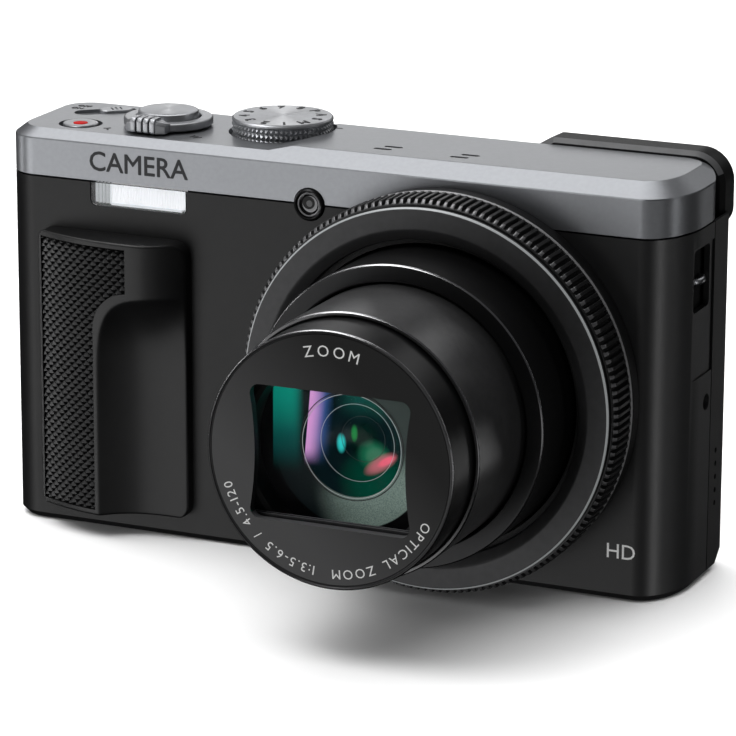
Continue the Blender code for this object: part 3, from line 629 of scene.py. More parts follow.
def make_looks():
    """Every material, under the record's slot names where one exists."""
    surface("body_plastic", (0.012, 0.012, 0.0125), 0.42, 0.0, 0.16, 0.010, 0.10, 0.05,
            Specular_IOR_Level=0.42)
    surface("finder_plastic", (0.012, 0.012, 0.0125), 0.48, 0.0, 0.16, 0.008, 0.10, 0.05,
            Specular_IOR_Level=0.18)
    # Light grey that paints a highlight on the viewfinder's upper front faces
    surface("finder_edge", (0.19, 0.192, 0.197), 0.45, 0.0, 0.16, 0.004, 0.10, 0.05)
    surface("silver_paint", (0.345, 0.355, 0.375), 0.36, 0.85, 0.05, 0.0015, 0.03, 0.03)
    surface("grip_plastic", (0.013, 0.013, 0.0135), 0.38, 0.0, 0.14, 0.006, 0.10, 0.05,
            Specular_IOR_Level=0.45)
    surface("grip_rubber", (0.040, 0.040, 0.041), 0.48, 0.0, 0.12, 0.006, 0.12, 0.06,
            Specular_IOR_Level=0.5)
    surface("ring_metal", (0.030, 0.030, 0.031), 0.36, 0.5, 0.10, 0.002, 0.08, 0.04)
    surface("tooth_metal", (0.045, 0.045, 0.046), 0.38, 0.6, 0.10, 0.002, 0.08, 0.04)
    surface("tooth_edge", (0.24, 0.24, 0.245), 0.40, 0.7, 0.10, 0.002, 0.08, 0.04)
    surface("fine_line", (0.60, 0.60, 0.61), 0.45, 0.5, 0.10, 0.001, 0.06, 0.04)
    surface("middle_metal", (0.16, 0.16, 0.163), 0.30, 0.7, 0.10, 0.0015, 0.06, 0.03)
    surface("nose_metal", (0.022, 0.022, 0.023), 0.36, 0.6, 0.10, 0.0015, 0.06, 0.03)
    # Painted light and shade: the nose is darker at its upper right and lighter at its lower left
    painted_light_gradient("nose_metal", (0.0, 0.0, 0.0), (0.050, 0.050, 0.051), 11.5)
    surface("ring_face_metal", (0.070, 0.070, 0.072), 0.42, 0.6, 0.10, 0.001, 0.08, 0.04)
    groove(LOOKS["ring_face_metal"], "Y", 0.12, 0.004)
    surface("barrel_metal", (0.022, 0.022, 0.023), 0.32, 0.6, 0.10, 0.0015, 0.06, 0.03)
    surface("bright_edge", (0.42, 0.42, 0.43), 0.24, 1.0, 0.10, 0.001, 0.06, 0.04)
    surface("blade_metal", (0.05, 0.05, 0.052), 0.40, 0.7, 0.10, 0.002, 0.10, 0.05)
    surface("inner_plastic", (0.008, 0.008, 0.0085), 0.62, 0.0, 0.15, 0.006, 0.15, 0.06)
    surface("machined_metal", (0.50, 0.51, 0.53), 0.40, 0.85, 0.08, 0.001, 0.05, 0.04)
    surface("brushed_metal", (0.47, 0.48, 0.50), 0.34, 0.95, 0.08, 0.0005, 0.04, 0.04)
    brush(LOOKS["brushed_metal"], "Z")
    surface("button_plastic", (0.018, 0.018, 0.0185), 0.40, 0.0, 0.12, 0.004, 0.10, 0.05)
    surface("eyecup_rubber", (0.016, 0.016, 0.016), 0.72, 0.0, 0.10, 0.008, 0.15, 0.06)
    surface("steel", (0.50, 0.51, 0.53), 0.28, 1.0, 0.10, 0.001, 0.08, 0.06)
    # Flash fresnel that glows white as painted light
    surface("flash_fresnel", (0.88, 0.89, 0.90), 0.30, 0.0, 0.30, 0.002, 0.03, 0.08,
            Emission_Color=(1.0, 1.0, 1.0, 1.0), Emission_Strength=0.30)
    surface("flash_dark", (0.06, 0.06, 0.065), 0.25, 0.5, 0.10, 0.0005, 0.04, 0.04)
    # Glowing light lines that paint highlights on thin edges and rims
    surface("rim_line", (0.55, 0.56, 0.57), 0.40, 0.3, 0.10, 0.0005, 0.04, 0.04,
            Emission_Color=(0.85, 0.90, 0.90, 1.0), Emission_Strength=0.30)
    surface("ring_line", (0.42, 0.43, 0.44), 0.40, 0.3, 0.10, 0.0005, 0.04, 0.04,
            Emission_Color=(0.85, 0.90, 0.90, 1.0), Emission_Strength=0.16)
    surface("lamp_grey", (0.30, 0.30, 0.31), 0.35, 0.3, 0.10, 0.001, 0.06, 0.04)
    surface("edge_grey", (0.17, 0.17, 0.175), 0.50, 0.0, 0.10, 0.001, 0.06, 0.04)
    surface("clear_plastic", (0.92, 0.93, 0.95), 0.06, 0.0, 0.30, 0.0005, 0.02, 0.02,
            Transmission_Weight=1.0, IOR=1.46)
    surface("clear_glass", (0.98, 0.99, 0.99), 0.02, 0.0, 2.0, 0.0001, 0.01, 0.01,
            Transmission_Weight=1.0, IOR=1.03)
    surface("lens_glass", (0.10, 0.25, 0.24), 0.04, 0.0, 2.0, 0.0002, 0.05, 0.01,
            Specular_IOR_Level=1.0, Coat_Weight=1.0)
    surface("screen_glass", (0.008, 0.008, 0.010), 0.06, 0.0, 1.0, 0.0002, 0.05, 0.02, Coat_Weight=1.0)
    surface("sensor_glass", (0.05, 0.03, 0.08), 0.10, 0.3, 0.5, 0.0005, 0.2, 0.03)
    surface("circuit_board", (0.02, 0.10, 0.05), 0.45, 0.0, 0.40, 0.01, 0.2, 0.06)
    surface("battery_case", (0.035, 0.036, 0.040), 0.45, 0.0, 0.25, 0.006, 0.10, 0.05)
    surface("print_dark", (0.035, 0.036, 0.040), 0.55, 0.0, 0.20, 0.002, 0.10, 0.04)
    # White print that also glows as painted light
    surface("print_white", (0.74, 0.74, 0.73), 0.50, 0.0, 0.20, 0.002, 0.04, 0.04,
            Emission_Color=(1.0, 1.0, 0.99, 1.0), Emission_Strength=0.18)
    surface("print_grey", (0.22, 0.22, 0.22), 0.50, 0.0, 0.20, 0.002, 0.04, 0.04)
    surface("record_red", (0.80, 0.012, 0.010), 0.55, 0.0, 0.20, 0.002, 0.06, 0.04, Specular_IOR_Level=0.1)
    surface("lamp_glass", (0.10, 0.10, 0.105), 0.10, 0.6, 0.30, 0.001, 0.10, 0.03, Coat_Weight=1.0)
    surface("screen_display", (0.014, 0.015, 0.018), 0.12, 0.0, 0.60, 0.0002, 0.05, 0.02, Coat_Weight=1.0)
    surface("screw_black", (0.045, 0.045, 0.046), 0.35, 0.8, 0.10, 0.002, 0.08, 0.05)


# ---------------------------------------------------------------- shells

def plan_outline(left, right, front, back, left_bend, right_bend, rear_bend=0.0, steps=14):
    """Plan of the body; its front right corner is drawn out along the side."""
    outline = []
    for x, y in rounded([(left, front, left_bend), (right, front, right_bend),
                         (right, back, rear_bend), (left, back, rear_bend)], steps):
        if x > right - right_bend - 0.01 and y < front + right_bend + 0.01:
            y = front + (y - front) * CORNER_SWEEP
        outline.append((x, y))
    return outline


def body_outline(inset, low, high):
    """Plan of the front shell, moved in by inset at its front and sides."""
    half = HALF_WIDTH - inset
    return plan_outline(-half, half, low + inset, high, CORNER_LEFT - inset, CORNER_RIGHT - inset)


def lens_and_lamp_holes():
    """Cutters for the lens and the focus lamp, which cross the seam between the two covers."""
    front, back = FRONT - 5.0, FRONT + 5.0
    return [prism("lens_hole", circle(LENS, radius("lens_housing") + 0.4, 128), front, back, "Y"),
            prism("lamp_hole", circle(LAMP, radius("af_lamp_bezel") + SPLIT_GAP), front, back, "Y")]


def front_cover():
    """Black front shell with the base and the front halves of the sides."""
    cover = stack("front_shell", [(body_outline(EDGE_CHAMFER, FRONT, SPLIT), 0.0),
                                  (body_outline(0.0, FRONT, SPLIT), EDGE_CHAMFER),
                                  (body_outline(0.0, FRONT, SPLIT), FRONT_TOP)])
    socket = centre("tripod_socket")
    screw = centre("side_screw")
    bay_low, bay_high = box("battery_door")
    flap_low, flap_high = box("terminal_door")
    bay = box_outline(bay_low.xy - ROOM, bay_high.xy + ROOM, 0.2)
    flap = box_outline(flap_low.yz - ROOM, flap_high.yz + ROOM, 0.2)
    panel = rounded([(-6.5, 33.0, 1.0), (9.0, 33.0, 0), (9.0, 53.4, 0), (-6.5, 53.4, 1.2)], 6)
    lens_hole, lamp_hole = lens_and_lamp_holes()
    cuts = [prism("cavity", body_outline(WALL, FRONT, SPLIT + 8.0), WALL, FRONT_TOP + 5.0),
            lens_hole,
            prism("flash_hole", flash_outline(-SPLIT_GAP, 3.0), FRONT - 5.0, FRONT + 5.0, "Y"),
            lamp_hole,
            prism("socket_hole", circle(socket.xy, radius("tripod_socket") + SPLIT_GAP), -1.0, 3.0),
            prism("bay_hole", bay, -1.0, 3.0),
            prism("flap_hole", flap, -60.0, -54.0, "X"),
            prism("lug_hole", box_outline((-4.6, 43.4), (2.4, 53.0), 0.8), 54.0, 60.0, "X"),
            prism("side_panel", panel, HALF_WIDTH - 0.3, 60.0, "X"),
            prism("screw_hole", circle(screw.yz, 1.3, 32), 54.0, 60.0, "X")]
    combine(cover, cuts)
    soften(cover, 0.22)
    piece(cover, "body_plastic", nodes=("front_cover",))


def flash_outline(inset, rise=0.0):
    """Outline of the flash window, its two lower corners rounded."""
    low, high = FLASH_LOW, FLASH_HIGH
    bend = 0.9 - inset
    return rounded([(low.x + inset, low.z + inset, bend), (high.x - inset, low.z + inset, bend),
                    (high.x - inset, high.z + rise, 0.0), (low.x + inset, high.z + rise, 0.0)], 6)


def top_cover():
    """Silver top with a long front chamfer, lower at the left, where the controls are."""
    back = box("top_cover")[1].y
    lower = plan_outline(-HALF_WIDTH, HALF_WIDTH, FRONT, back, CORNER_LEFT, CORNER_RIGHT, 5.0)
    upper = plan_outline(-HALF_WIDTH + 2.1, HALF_WIDTH - 2.9, FRONT + 3.8, back - 3.4, 4.0, 4.6, 4.0)

    def between(share):
        """Plan part of the way up the chamfer, with its height."""
        outline = [(a + (c - a) * share, b + (d - b) * share) for (a, b), (c, d) in zip(lower, upper)]
        return outline, SHOULDER + (TOP_HIGH - SHOULDER) * min(share, 1.0)

    cover = stack("top_shell", [(lower, SEAM), (lower, SHOULDER - 0.14), between(0.03), between(0.97),
                                between(1.03)])
    slope = (TOP_HIGH - TOP_LOW) / (STEP_RIGHT - STEP_LEFT)
    step = prism("step", [(-80.0, TOP_LOW), (STEP_LEFT, TOP_LOW), (STEP_LEFT + 6.0, TOP_LOW + 6.0 * slope),
                          (STEP_LEFT + 6.0, 80.0), (-80.0, 80.0)], -40.0, 40.0, "Y")
    finder_low = box("viewfinder_housing")[0]
    finder = prism("finder", box_outline((finder_low.x - 0.1, -40.0), (80.0, 40.0)), 40.0, 80.0)
    combine(finder, [prism("keep", finder_boundary(0.0), 30.0, 90.0)])
    room = rounded([(-54.7, FRONT + 1.3, 4.0), (54.7, FRONT + 1.3, 4.3),
                    (54.7, FINDER_SEAM - 1.3, FINDER_CORNER - 1.3), (-54.7, FINDER_SEAM - 1.3, 4.0)])
    cuts = [step, finder,
            prism("room", room, 50.0, TOP_LOW - 2.8),
            *lens_and_lamp_holes(),
            prism("dial_well", circle(DIAL, radius("mode_dial") + 0.45, 96), TOP_LOW - 1.6, 80.0),
            prism("dial_hole", circle(DIAL, 2.3, 32), 50.0, 80.0),
            prism("shutter_hole", circle(SHUTTER, 2.3, 32), 50.0, 80.0),
            prism("record_well", circle(RECORD_SPOT, 3.45, 64), TOP_LOW - 1.4, 80.0),
            prism("record_hole", circle(RECORD_SPOT, 1.3, 24), 50.0, 80.0),
            prism("switch_well", slot_outline(SWITCH_SPOT, 3.2, 1.9, SWITCH_ANGLE), TOP_LOW - 0.5, 80.0)]
    slits = []
    for spot_x, spot_y in MICROPHONES:
        for side in (-1, 1):
            middle = (spot_x + 0.5 * side, spot_y + 0.95 * side)
            cuts.append(prism("slit", slot_outline(middle, 1.05, 0.46, 0.0, 5), TOP_HIGH - 0.7, 80.0))
            slits.append(prism("mesh", slot_outline(middle, 1.0, 0.42, 0.0, 5),
                               TOP_HIGH - 0.68, TOP_HIGH - 0.12))
    combine(cover, cuts)
    piece(cover, "silver_paint", nodes=("top_cover",), smooth=22.0)
    lip = prism("seam_lip", box_outline((-53.0, 8.6), (finder_low.x - 1.0, 10.2)), SEAM - 1.2, SEAM - 0.03)
    piece(lip, "inner_plastic")
    piece(join("microphone_mesh", slits), "silver_paint", look="inner_plastic")


def finder_boundary(clearance):
    """Outline of the top cover's side of the line where the viewfinder begins."""
    reach = FINDER_CORNER + clearance
    side = HALF_WIDTH + clearance
    seam = FINDER_SEAM + clearance
    return rounded([(-80.0, -40.0, 0), (side, -40.0, 0), (side, seam, reach), (-80.0, seam, 0)], 14)


def rear_cover():
    """Black rear shell around the screen, with the buttons' holes and the loudspeaker's holes."""
    low = box("rear_cover")[0].y
    side = HALF_WIDTH
    top = FRONT_TOP

    def plan(inset, back, bend):
        """Plan of the rear shell, moved in by inset at its sides."""
        return rounded([(-side + inset, low, 0), (side - inset, low, 0),
                        (side - inset, back, bend), (-side + inset, back, bend)], 10)

    cover = stack("rear_shell", [(plan(EDGE_CHAMFER, BACK - 4.0, 2.0), 0.0),
                                 (plan(0.0, BACK - 2.6, 2.5), EDGE_CHAMFER),
                                 (plan(0.0, BACK, 3.0), 2.8),
                                 (plan(0.0, BACK, 3.0), top)])
    inner_back = BACK - WALL
    cavity = stack("cavity", [(body_outline(1.4, -20.0, inner_back - 2.6), 1.4),
                              (body_outline(1.4, -20.0, inner_back), 3.5),
                              (body_outline(1.4, -20.0, inner_back), top + 5.0)])
    glass_low, glass_high = box("lcd_glass")
    window = prism("window", box_outline(glass_low.xz - ROOM, glass_high.xz + ROOM, 1.5), 5.0, 20.0, "Y")
    finder_low, finder_high = box("viewfinder_housing")
    finder = prism("finder", rounded([(finder_low.x - 0.2, finder_low.z - 0.2, 0.8),
                                      (finder_high.x + 0.2, finder_low.z - 0.2, 3.4),
                                      (finder_high.x + 0.2, 90.0, 0), (finder_low.x - 0.2, 90.0, 0)]),
                   -20.0, 40.0, "Y")
    dial = centre("rear_dial")
    cuts = [cavity, window, finder,
            prism("dial_hole", circle((dial.x, dial.z), radius("rear_dial") + 0.3, 96), 5.0, 20.0, "Y")]
    for name in REAR_BUTTONS:
        spot = centre(name)
        cuts.append(prism("button_hole", circle((spot.x, spot.z), radius(name) + 0.25, 48), 5.0, 20.0, "Y"))
    for index in range(5):
        cuts.append(prism("sound_hole", circle((6.6, 11.0 + 2.1 * index), 0.45, 16), 54.0, 60.0, "X"))
    combine(cover, cuts)
    soften(cover, 0.22)
    piece(cover, "body_plastic", nodes=("rear_cover",))


# ---------------------------------------------------------------- grip

def grip_height(x, z):
    """How far the grip stands out of the front: a hump with a finger scoop at its lower right."""
    width = 21.5 if x < GRIP_CREST else 9.2
    hump = GRIP_HEIGHT * (1.0 - (abs(x - GRIP_CREST) / width) ** 2.3)
    across = 1.0 - (x - SCOOP_LEFT) / SCOOP_REACH[0]
    down = 1.0 - (SCOOP_TOP - z) / SCOOP_REACH[1]
    share = (max(across, 0.0) ** SCOOP_CORNER + max(down, 0.0) ** SCOOP_CORNER) ** (1.0 / SCOOP_CORNER)
    wall = min(share, 1.0) ** SCOOP_CURVE
    return SCOOP_FLOOR + (hump - SCOOP_FLOOR) * wall


def grip_span(z):
    """Left and right end of the grip's outline at a height, and the distance test's corner radii."""
    low, high = GRIP_LOW, GRIP_HIGH
    left, right = low[0], high[0]
    for edge, left_bend, right_bend in ((z - low[1], 1.6, 2.0), (high[1] - z, 1.6, 2.6)):
        if edge < left_bend:
            left += left_bend - math.sqrt(max(left_bend ** 2 - (left_bend - edge) ** 2, 0.0))
        if edge < right_bend:
            right -= right_bend - math.sqrt(max(right_bend ** 2 - (right_bend - edge) ** 2, 0.0))
    return left, right


def spaced(low, high, count, edge):
    """Positions from low to high, close together near both ends, where the edge is rounded."""
    near = [edge * share for share in (0.0, 0.04, 0.14, 0.30, 0.50, 0.74)]
    inner = [low + edge + (high - low - 2 * edge) * step / count for step in range(count + 1)]
    return [low + offset for offset in near] + inner + [high - offset for offset in reversed(near)]


def grip_frame():
    """Grip moulding with a rounded rim and the pocket for its pad."""
    bend = 0.4
    rows = []
    for z in spaced(GRIP_LOW[1], GRIP_HIGH[1], 130, bend):
        left, right = grip_span(z)
        row = []
        for x in spaced(left, right, 90, bend):
            edge = min(x - left, right - x, z - GRIP_LOW[1], GRIP_HIGH[1] - z)
            fall = 0.0
            if edge < bend:
                fall = bend - math.sqrt(max(bend ** 2 - (bend - edge) ** 2, 0.0))
            row.append(Vector((x, FRONT - max(grip_height(x, z) - fall, 0.4), z)))
        rows.append(row)
    frame_piece = sheet_solid("grip_moulding", rows, FRONT + 0.02)
    pocket = prism("pocket", pad_outline(0.0), FRONT - 12.0, FRONT + 5.0, "Y")
    floor = sheet_solid("floor", [[Vector((point.x, FRONT - grip_height(point.x, point.z) + 0.9, point.z))
                                   for point in row] for row in rows], FRONT + 9.0)
    combine(pocket, [floor])
    combine(frame_piece, [pocket])
    piece(frame_piece, "grip_plastic", nodes=("grip_frame",), smooth=50.0)


def sheet_solid(name, rows, back):
    """Solid between a grid of points and a flat back at a depth."""
    columns = len(rows[0])
    count = len(rows) * columns
    points = [point for row in rows for point in row]
    points += [Vector((point.x, back, point.z)) for point in points]
    faces = []
    for row in range(len(rows) - 1):
        for column in range(columns - 1):
            a = row * columns + column
            quad = (a, a + 1, a + columns + 1, a + columns)
            faces += [quad, tuple(corner + count for corner in quad)]
    return solid(name, points, faces + rim_faces(len(rows), columns, count))


def rim_faces(rows, columns, shift):
    """Faces between the rim of a grid of points and the rim of its copy, shift places further on."""
    count = rows * columns
    edge = list(range(columns - 1))
    edge += [row * columns + columns - 1 for row in range(rows - 1)]
    edge += [count - 1 - column for column in range(columns - 1)]
    edge += [(rows - 1 - row) * columns for row in range(rows - 1)]
    return [(a, b, b + shift, a + shift) for a, b in zip(edge, edge[1:] + edge[:1])]


def pad_outline(inset):
    """Outline of the textured pad: the grip's left part, with a hook over the scoop."""
    left = GRIP_LOW[0] + 0.8 + inset
    low = GRIP_LOW[1] + 0.9 + inset
    high = GRIP_HIGH[1] - 0.9 - inset
    right = SCOOP_CENTRE[0] - 0.4 - inset
    reach = SCOOP_RADIUS + 0.7 + inset
    outline = [(left, low), (SCOOP_CENTRE[0] - reach, low)]
    steps = 14
    for step in range(steps + 1):
        angle = math.pi - (math.pi / 2 - 0.12) * step / steps
        outline.append((SCOOP_CENTRE[0] + reach * math.cos(angle),
                        SCOOP_CENTRE[1] + reach * math.sin(angle)))
    return outline + [(right, SCOOP_CENTRE[1] + reach), (right, high), (left, high)]


def grip_pad():
    """Pad of staggered square pyramids that stand on their corners."""
    across, up, tall = 0.75, 0.675, 0.52
    columns = int((GRIP_HIGH[0] - GRIP_LOW[0]) / across) + 4
    rows = int((GRIP_HIGH[1] - GRIP_LOW[1]) / up) + 4
    points, faces = [], []
    for row in range(rows):
        for column in range(columns):
            x = GRIP_LOW[0] - across + column * across
            z = GRIP_LOW[1] - up + row * up
            lift = 0.0 if (row + column) % 2 else -tall
            points.append((x, FRONT - grip_height(x, z) - lift, z))
    for row in range(rows - 1):
        for column in range(columns - 1):
            a = row * columns + column
            b, c, d = a + 1, a + columns + 1, a + columns
            if (row + column) % 2:
                faces += [(a, b, d), (b, c, d)]
            else:
                faces += [(a, b, c), (a, c, d)]
    top = len(points)
    points += [(x, FRONT + 6.0, z) for x, y, z in points]
    faces += [tuple(corner + top for corner in face) for face in list(faces)]
    faces += rim_faces(rows, columns, top)
    pad = solid("grip_pad_pyramids", points, faces)
    back_rows = []
    for z in spaced(GRIP_LOW[1] - 2.0, GRIP_HIGH[1] + 2.0, 60, 1.0):
        back_rows.append([Vector((x, FRONT - grip_height(x, z) + 0.8, z))
                          for x in spaced(GRIP_LOW[0] - 2.0, GRIP_HIGH[0] + 2.0, 40, 1.0)])
    behind = sheet_solid("behind", back_rows, FRONT + 12.0)
    edge_prism = prism("pad_edge", pad_outline(0.1), FRONT - 12.0, FRONT + 5.0, "Y")
    combine(pad, [edge_prism], "INTERSECT")
    combine(pad, [behind])
    piece(pad, "grip_rubber", nodes=("grip_pad",), smooth=20.0)


# ---------------------------------------------------------------- lens

def lens_rings():
    """Fixed ring at the lens's foot, the toothed control ring and its turned face."""
    low, high = box("lens_base_ring")
    outer = radius("lens_base_ring")
    base = turned("lens_foot_ring", [(outer, high.y), (outer, low.y + 0.55), (outer - 0.12, low.y + 0.4),
                                     (outer - 0.30, low.y + 0.1), (outer - 0.45, low.y), (29.6, low.y),
                                     (29.6, low.y - 0.24), (28.2, low.y - 0.24),
                                     (28.2, high.y)], LENS)
    made = piece(base, "ring_metal", nodes=("lens_base_ring",), origin=lens_origin(low.y))
    repaint(made, "tooth_edge", lambda at, normal: 0.2 < -normal.y < 0.9 and at.y < 0.3)

    low, high = box("control_ring")
    outer = radius("control_ring")
    back, front = high.y, low.y
    rows = [(28.2, back, 0.0), (outer - 0.25, back, 0.0), (outer - 0.10, back - 0.14, 0.0),
            (outer - 0.10, back - 0.34, 0.0), (outer - 0.30, back - 0.48, 0.0),
            (outer - 0.75, back - 0.60, 0.0), (outer - 0.75, back - 0.85, 0.0),
            (outer, back - 1.05, 0.70), (outer, front + 1.05, 0.70), (outer - 0.12, front + 0.75, 0.62),
            (outer - 0.40, front + 0.45, 0.36), (outer - 0.70, front + 0.28, 0.0),
            (outer - 0.75, front, 0.0), (28.2, front, 0.0)]
    tooth = [(0.0, 1.0), (0.36, 1.0), (0.44, 0.12), (0.50, 0.0), (0.84, 0.0), (0.90, 0.12)]
    ring = toothed("control_ring_teeth", rows, LENS, 160, tooth)
    made = piece(ring, "ring_metal", "control_ring", ("control_ring",), lens_origin(low.y), 30.0,
                 "tooth_metal")
    repaint(made, "fine_line",
            lambda at, normal: outer - 0.32 < math.hypot(at.x, at.z) < outer - 0.02
            and at.y > back - front - 0.45 and math.hypot(normal.x, normal.z) > 0.5)
    # Painted shade: the valleys between the teeth and the groove behind them take a black plastic look
    repaint(made, "inner_plastic",
            lambda at, normal: math.hypot(at.x, at.z) < outer - 0.5 and 0.9 < at.y < back - front - 0.55)
    repaint(made, "tooth_edge",
            lambda at, normal: at.y < 0.9 and -normal.y > 0.2 and math.hypot(at.x, at.z) > outer - 0.72)

    low, high = box("control_ring_face")
    outer = radius("control_ring_face")
    face = turned("control_ring_front",
                  [(27.9, high.y), (27.9, low.y + 0.8), (outer, low.y + 0.8), (outer, low.y + 0.34),
                   (outer - 0.1, low.y + 0.16), (outer - 0.26, low.y + 0.03), (outer - 0.42, low.y),
                   (26.3, low.y), (26.0, low.y + 0.06), (25.7, low.y + 0.25), (24.5, low.y + 0.95),
                   (24.35, low.y + 1.2), (24.3, high.y)], LENS, segments=192)
    made = piece(face, "ring_metal", "control_ring", ("control_ring_face",), lens_origin(low.y), 30.0,
                 "ring_face_metal")
    # Painted highlight: the outer edge of the face glows
    repaint(made, "ring_line",
            lambda at, normal: math.hypot(at.x, at.z) > outer - 0.3 and -normal.y > 0.2)


def lens_barrels():
    """Housing and the three nested barrels, each with a thin bright front edge."""
    low, high = box("lens_housing")
    outer = radius("lens_housing")
    housing = turned("lens_well", [(outer, high.y), (outer, low.y), (23.5, low.y), (23.4, low.y + 1.2),
                                   (23.9, low.y + 1.3), (23.9, low.y + 3.0), (23.4, low.y + 3.1),
                                   (23.4, high.y - 1.0), (9.0, high.y - 1.0), (9.0, high.y)], LENS)
    piece(housing, "inner_plastic", nodes=("lens_housing",), origin=lens_origin(low.y))

    low, high = box("barrel_outer")
    size = radius("barrel_outer")
    profile = [(20.8, high.y), (size, high.y), (size, low.y + 0.22), (size - 0.07, low.y + 0.1),
               (size - 0.2, low.y), (size - 0.5, low.y), (20.62, low.y + 0.18), (20.4, low.y + 0.35),
               (20.4, low.y + 0.95), (20.8, low.y + 1.05)]
    barrel("outer_barrel", profile, "barrel_outer", size, low.y)

    low, high = box("barrel_middle")
    size = radius("barrel_middle")
    profile = [(19.45, high.y), (size, high.y), (size, low.y + 0.22), (size - 0.07, low.y + 0.1),
               (size - 0.18, low.y), (19.5, low.y), (19.3, low.y + 0.2), (19.3, low.y + 0.8),
               (19.45, low.y + 0.9)]
    barrel("middle_barrel", profile, "barrel_middle", size, low.y, "middle_metal")

    low, high = box("barrel_front")
    size = radius("barrel_front")
    profile = [(18.56, high.y), (size, high.y), (size, low.y + 0.22), (size - 0.07, low.y + 0.08),
               (size - 0.18, low.y), (size - 0.32, low.y), (size - 0.42, low.y + 0.12),
               (18.56, low.y + 0.16)]
    barrel("front_barrel", profile, "barrel_front", size, low.y)


def barrel(name, profile, body, size, front, look="barrel_metal"):
    """Barrel turned from its profile, its front edge in bare metal."""
    made = turned(name, profile, LENS, segments=160)
    piece(made, "barrel_metal", body, (body,), lens_origin(front), 30.0, look)
    repaint(made, "bright_edge",
            lambda at, normal: math.hypot(at.x, at.z) > size - 0.19 and -normal.y > 0.2)


def opening_outline():
    """The lens opening: straight above and below, its sides bowed inwards."""
    half_x, half_z, bow = 12.45, 10.0, 0.75
    corner = 1.5
    steps = 12
    outline = []
    for quarter, (side_x, side_z) in enumerate(((1, -1), (1, 1), (-1, 1), (-1, -1))):
        middle = Vector((LENS.x + side_x * (half_x - corner), LENS.y + side_z * (half_z - corner)))
        start = (quarter - 1) * math.pi / 2
        for step in range(7):
            angle = start + math.pi / 2 * step / 6
            outline.append((middle.x + corner * math.cos(angle), middle.y + corner * math.sin(angle)))
        if side_z == -side_x:
            for step in range(1, steps):
                rise = 2 * step / steps - 1
                inwards = bow * (1.0 - rise ** 2)
                outline.append((LENS.x + side_x * (half_x - inwards),
                                LENS.y + side_x * rise * (half_z - corner)))
    return outline


def lens_nose():
    """Name ring with its opening, the white lettering on it, and the parked blades."""
    back = FACE_DEPTH + 1.35
    profile = [(0.0, back), (18.52, back), (18.52, FACE_DEPTH + 0.03), (18.40, FACE_DEPTH), (0.0, FACE_DEPTH)]
    plate = turned("name_plate", profile, LENS, segments=160)
    combine(plate, [prism("opening", opening_outline(), NOSE - 2.0, NOSE + 4.0, "Y")])
    soften(plate, 0.10)
    piece(plate, "barrel_metal", "barrel_front", ("name_ring",), lens_origin(FACE_DEPTH), look="nose_metal")
    # Painted highlight: the upward-facing lower edge of the opening is lighter grey
    repaint(plate, "edge_grey",
            lambda at, normal: normal.z > 0.6 and -11.0 < at.z < -9.0 and abs(at.x) < 13.0)

    top = arc_items("ZOOM", 2.35, 15.25, math.radians(104.5), 0.62)
    foot = arc_items("OPTICAL ZOOM  1:3.5-6.5 / 4.5-120", 2.0, 16.15, math.radians(-26.0), 0.40, 1.15)
    lettering("name_ring_letters", top + foot, "barrel_metal", "barrel_front", "print_white")

    for blade_name in ("barrier_upper_outer", "barrier_upper_inner", "barrier_lower_outer",
                       "barrier_lower_inner"):
        low, high = box(blade_name)
        sign = 1.0 if low.z > LENS.y else -1.0
        size = max(abs(high.z - LENS.y), abs(low.z - LENS.y))
        chord = min(abs(high.z - LENS.y), abs(low.z - LENS.y))
        sweep = math.acos(chord / size)
        outline = [(LENS.x + size * math.sin(sweep * (step / 20 - 1.0)),
                    LENS.y + sign * size * math.cos(sweep * (step / 20 - 1.0))) for step in range(41)]
        blade = prism(blade_name + "_blade", outline, low.y, high.y, "Y")
        soften(blade, 0.07)
        made = piece(blade, "blade_metal", blade_name, (blade_name,))
        repaint(made, "edge_grey", lambda at, normal: normal.z * sign < -0.5)


def lens_glass():
    """Cell, the clear front element, and the inner elements and rings that show through it; the inner
    surfaces carry painted reflections and shade, and two rims glow as painted highlights.
    """
    low, high = box("front_lens_cell")
    outer = radius("front_lens_cell")
    cell = turned("lens_cell", [(outer, high.y), (outer, low.y), (14.9, low.y), (14.6, low.y + 0.25),
                                (14.3, low.y + 0.4), (14.3, high.y)], LENS)
    piece(cell, "inner_plastic", "barrel_front", ("front_lens_cell",), lens_origin(low.y))
    # Baffle and inner elements carry painted reflections and painted shade
    baffle = turned("lens_baffle", [(14.25, -48.5), (14.25, -50.1), (12.1, -49.85), (7.6, -49.45),
                                    (7.6, -48.5)], LENS)
    piece(baffle, "inner_plastic", "barrel_front", (), lens_origin(FACE_DEPTH), look="lens_baffle_paint")
    inner = turned("inner_elements", [(0.0, -44.9), (3.4, -45.4), (5.75, -47.4), (7.65, -49.35),
                                      (7.65, -44.0), (0.0, -44.0)], LENS)
    piece(inner, "lens_glass", "barrel_front", (), lens_origin(FACE_DEPTH), look="lens_coating")
    glass = dome("front_element", 14.2, -54.0, 37.4, -52.9, 60.0)
    made = piece(glass, "lens_glass", "barrel_front", ("front_lens",), lens_origin(-54.0),
                 look="clear_glass")
    made.visible_shadow = False
    # Rims of the inner elements; the element rim and the inner rim glow as painted highlights
    for name, size, depth, bar, look in (("element_rim", 7.72, -49.6, 0.042, "ring_line"),
                                         ("outer_line", 8.05, -49.55, 0.07, "inner_plastic"),
                                         ("inner_rim", 5.75, -47.55, 0.032, "ring_line"),
                                         ("small_rim", 3.4, -45.5, 0.04, "ring_metal")):
        rim = turned(name, circle((size, depth), bar, 10), LENS)
        piece(rim, "ring_metal", "barrel_front", (), lens_origin(depth), 60.0, look)


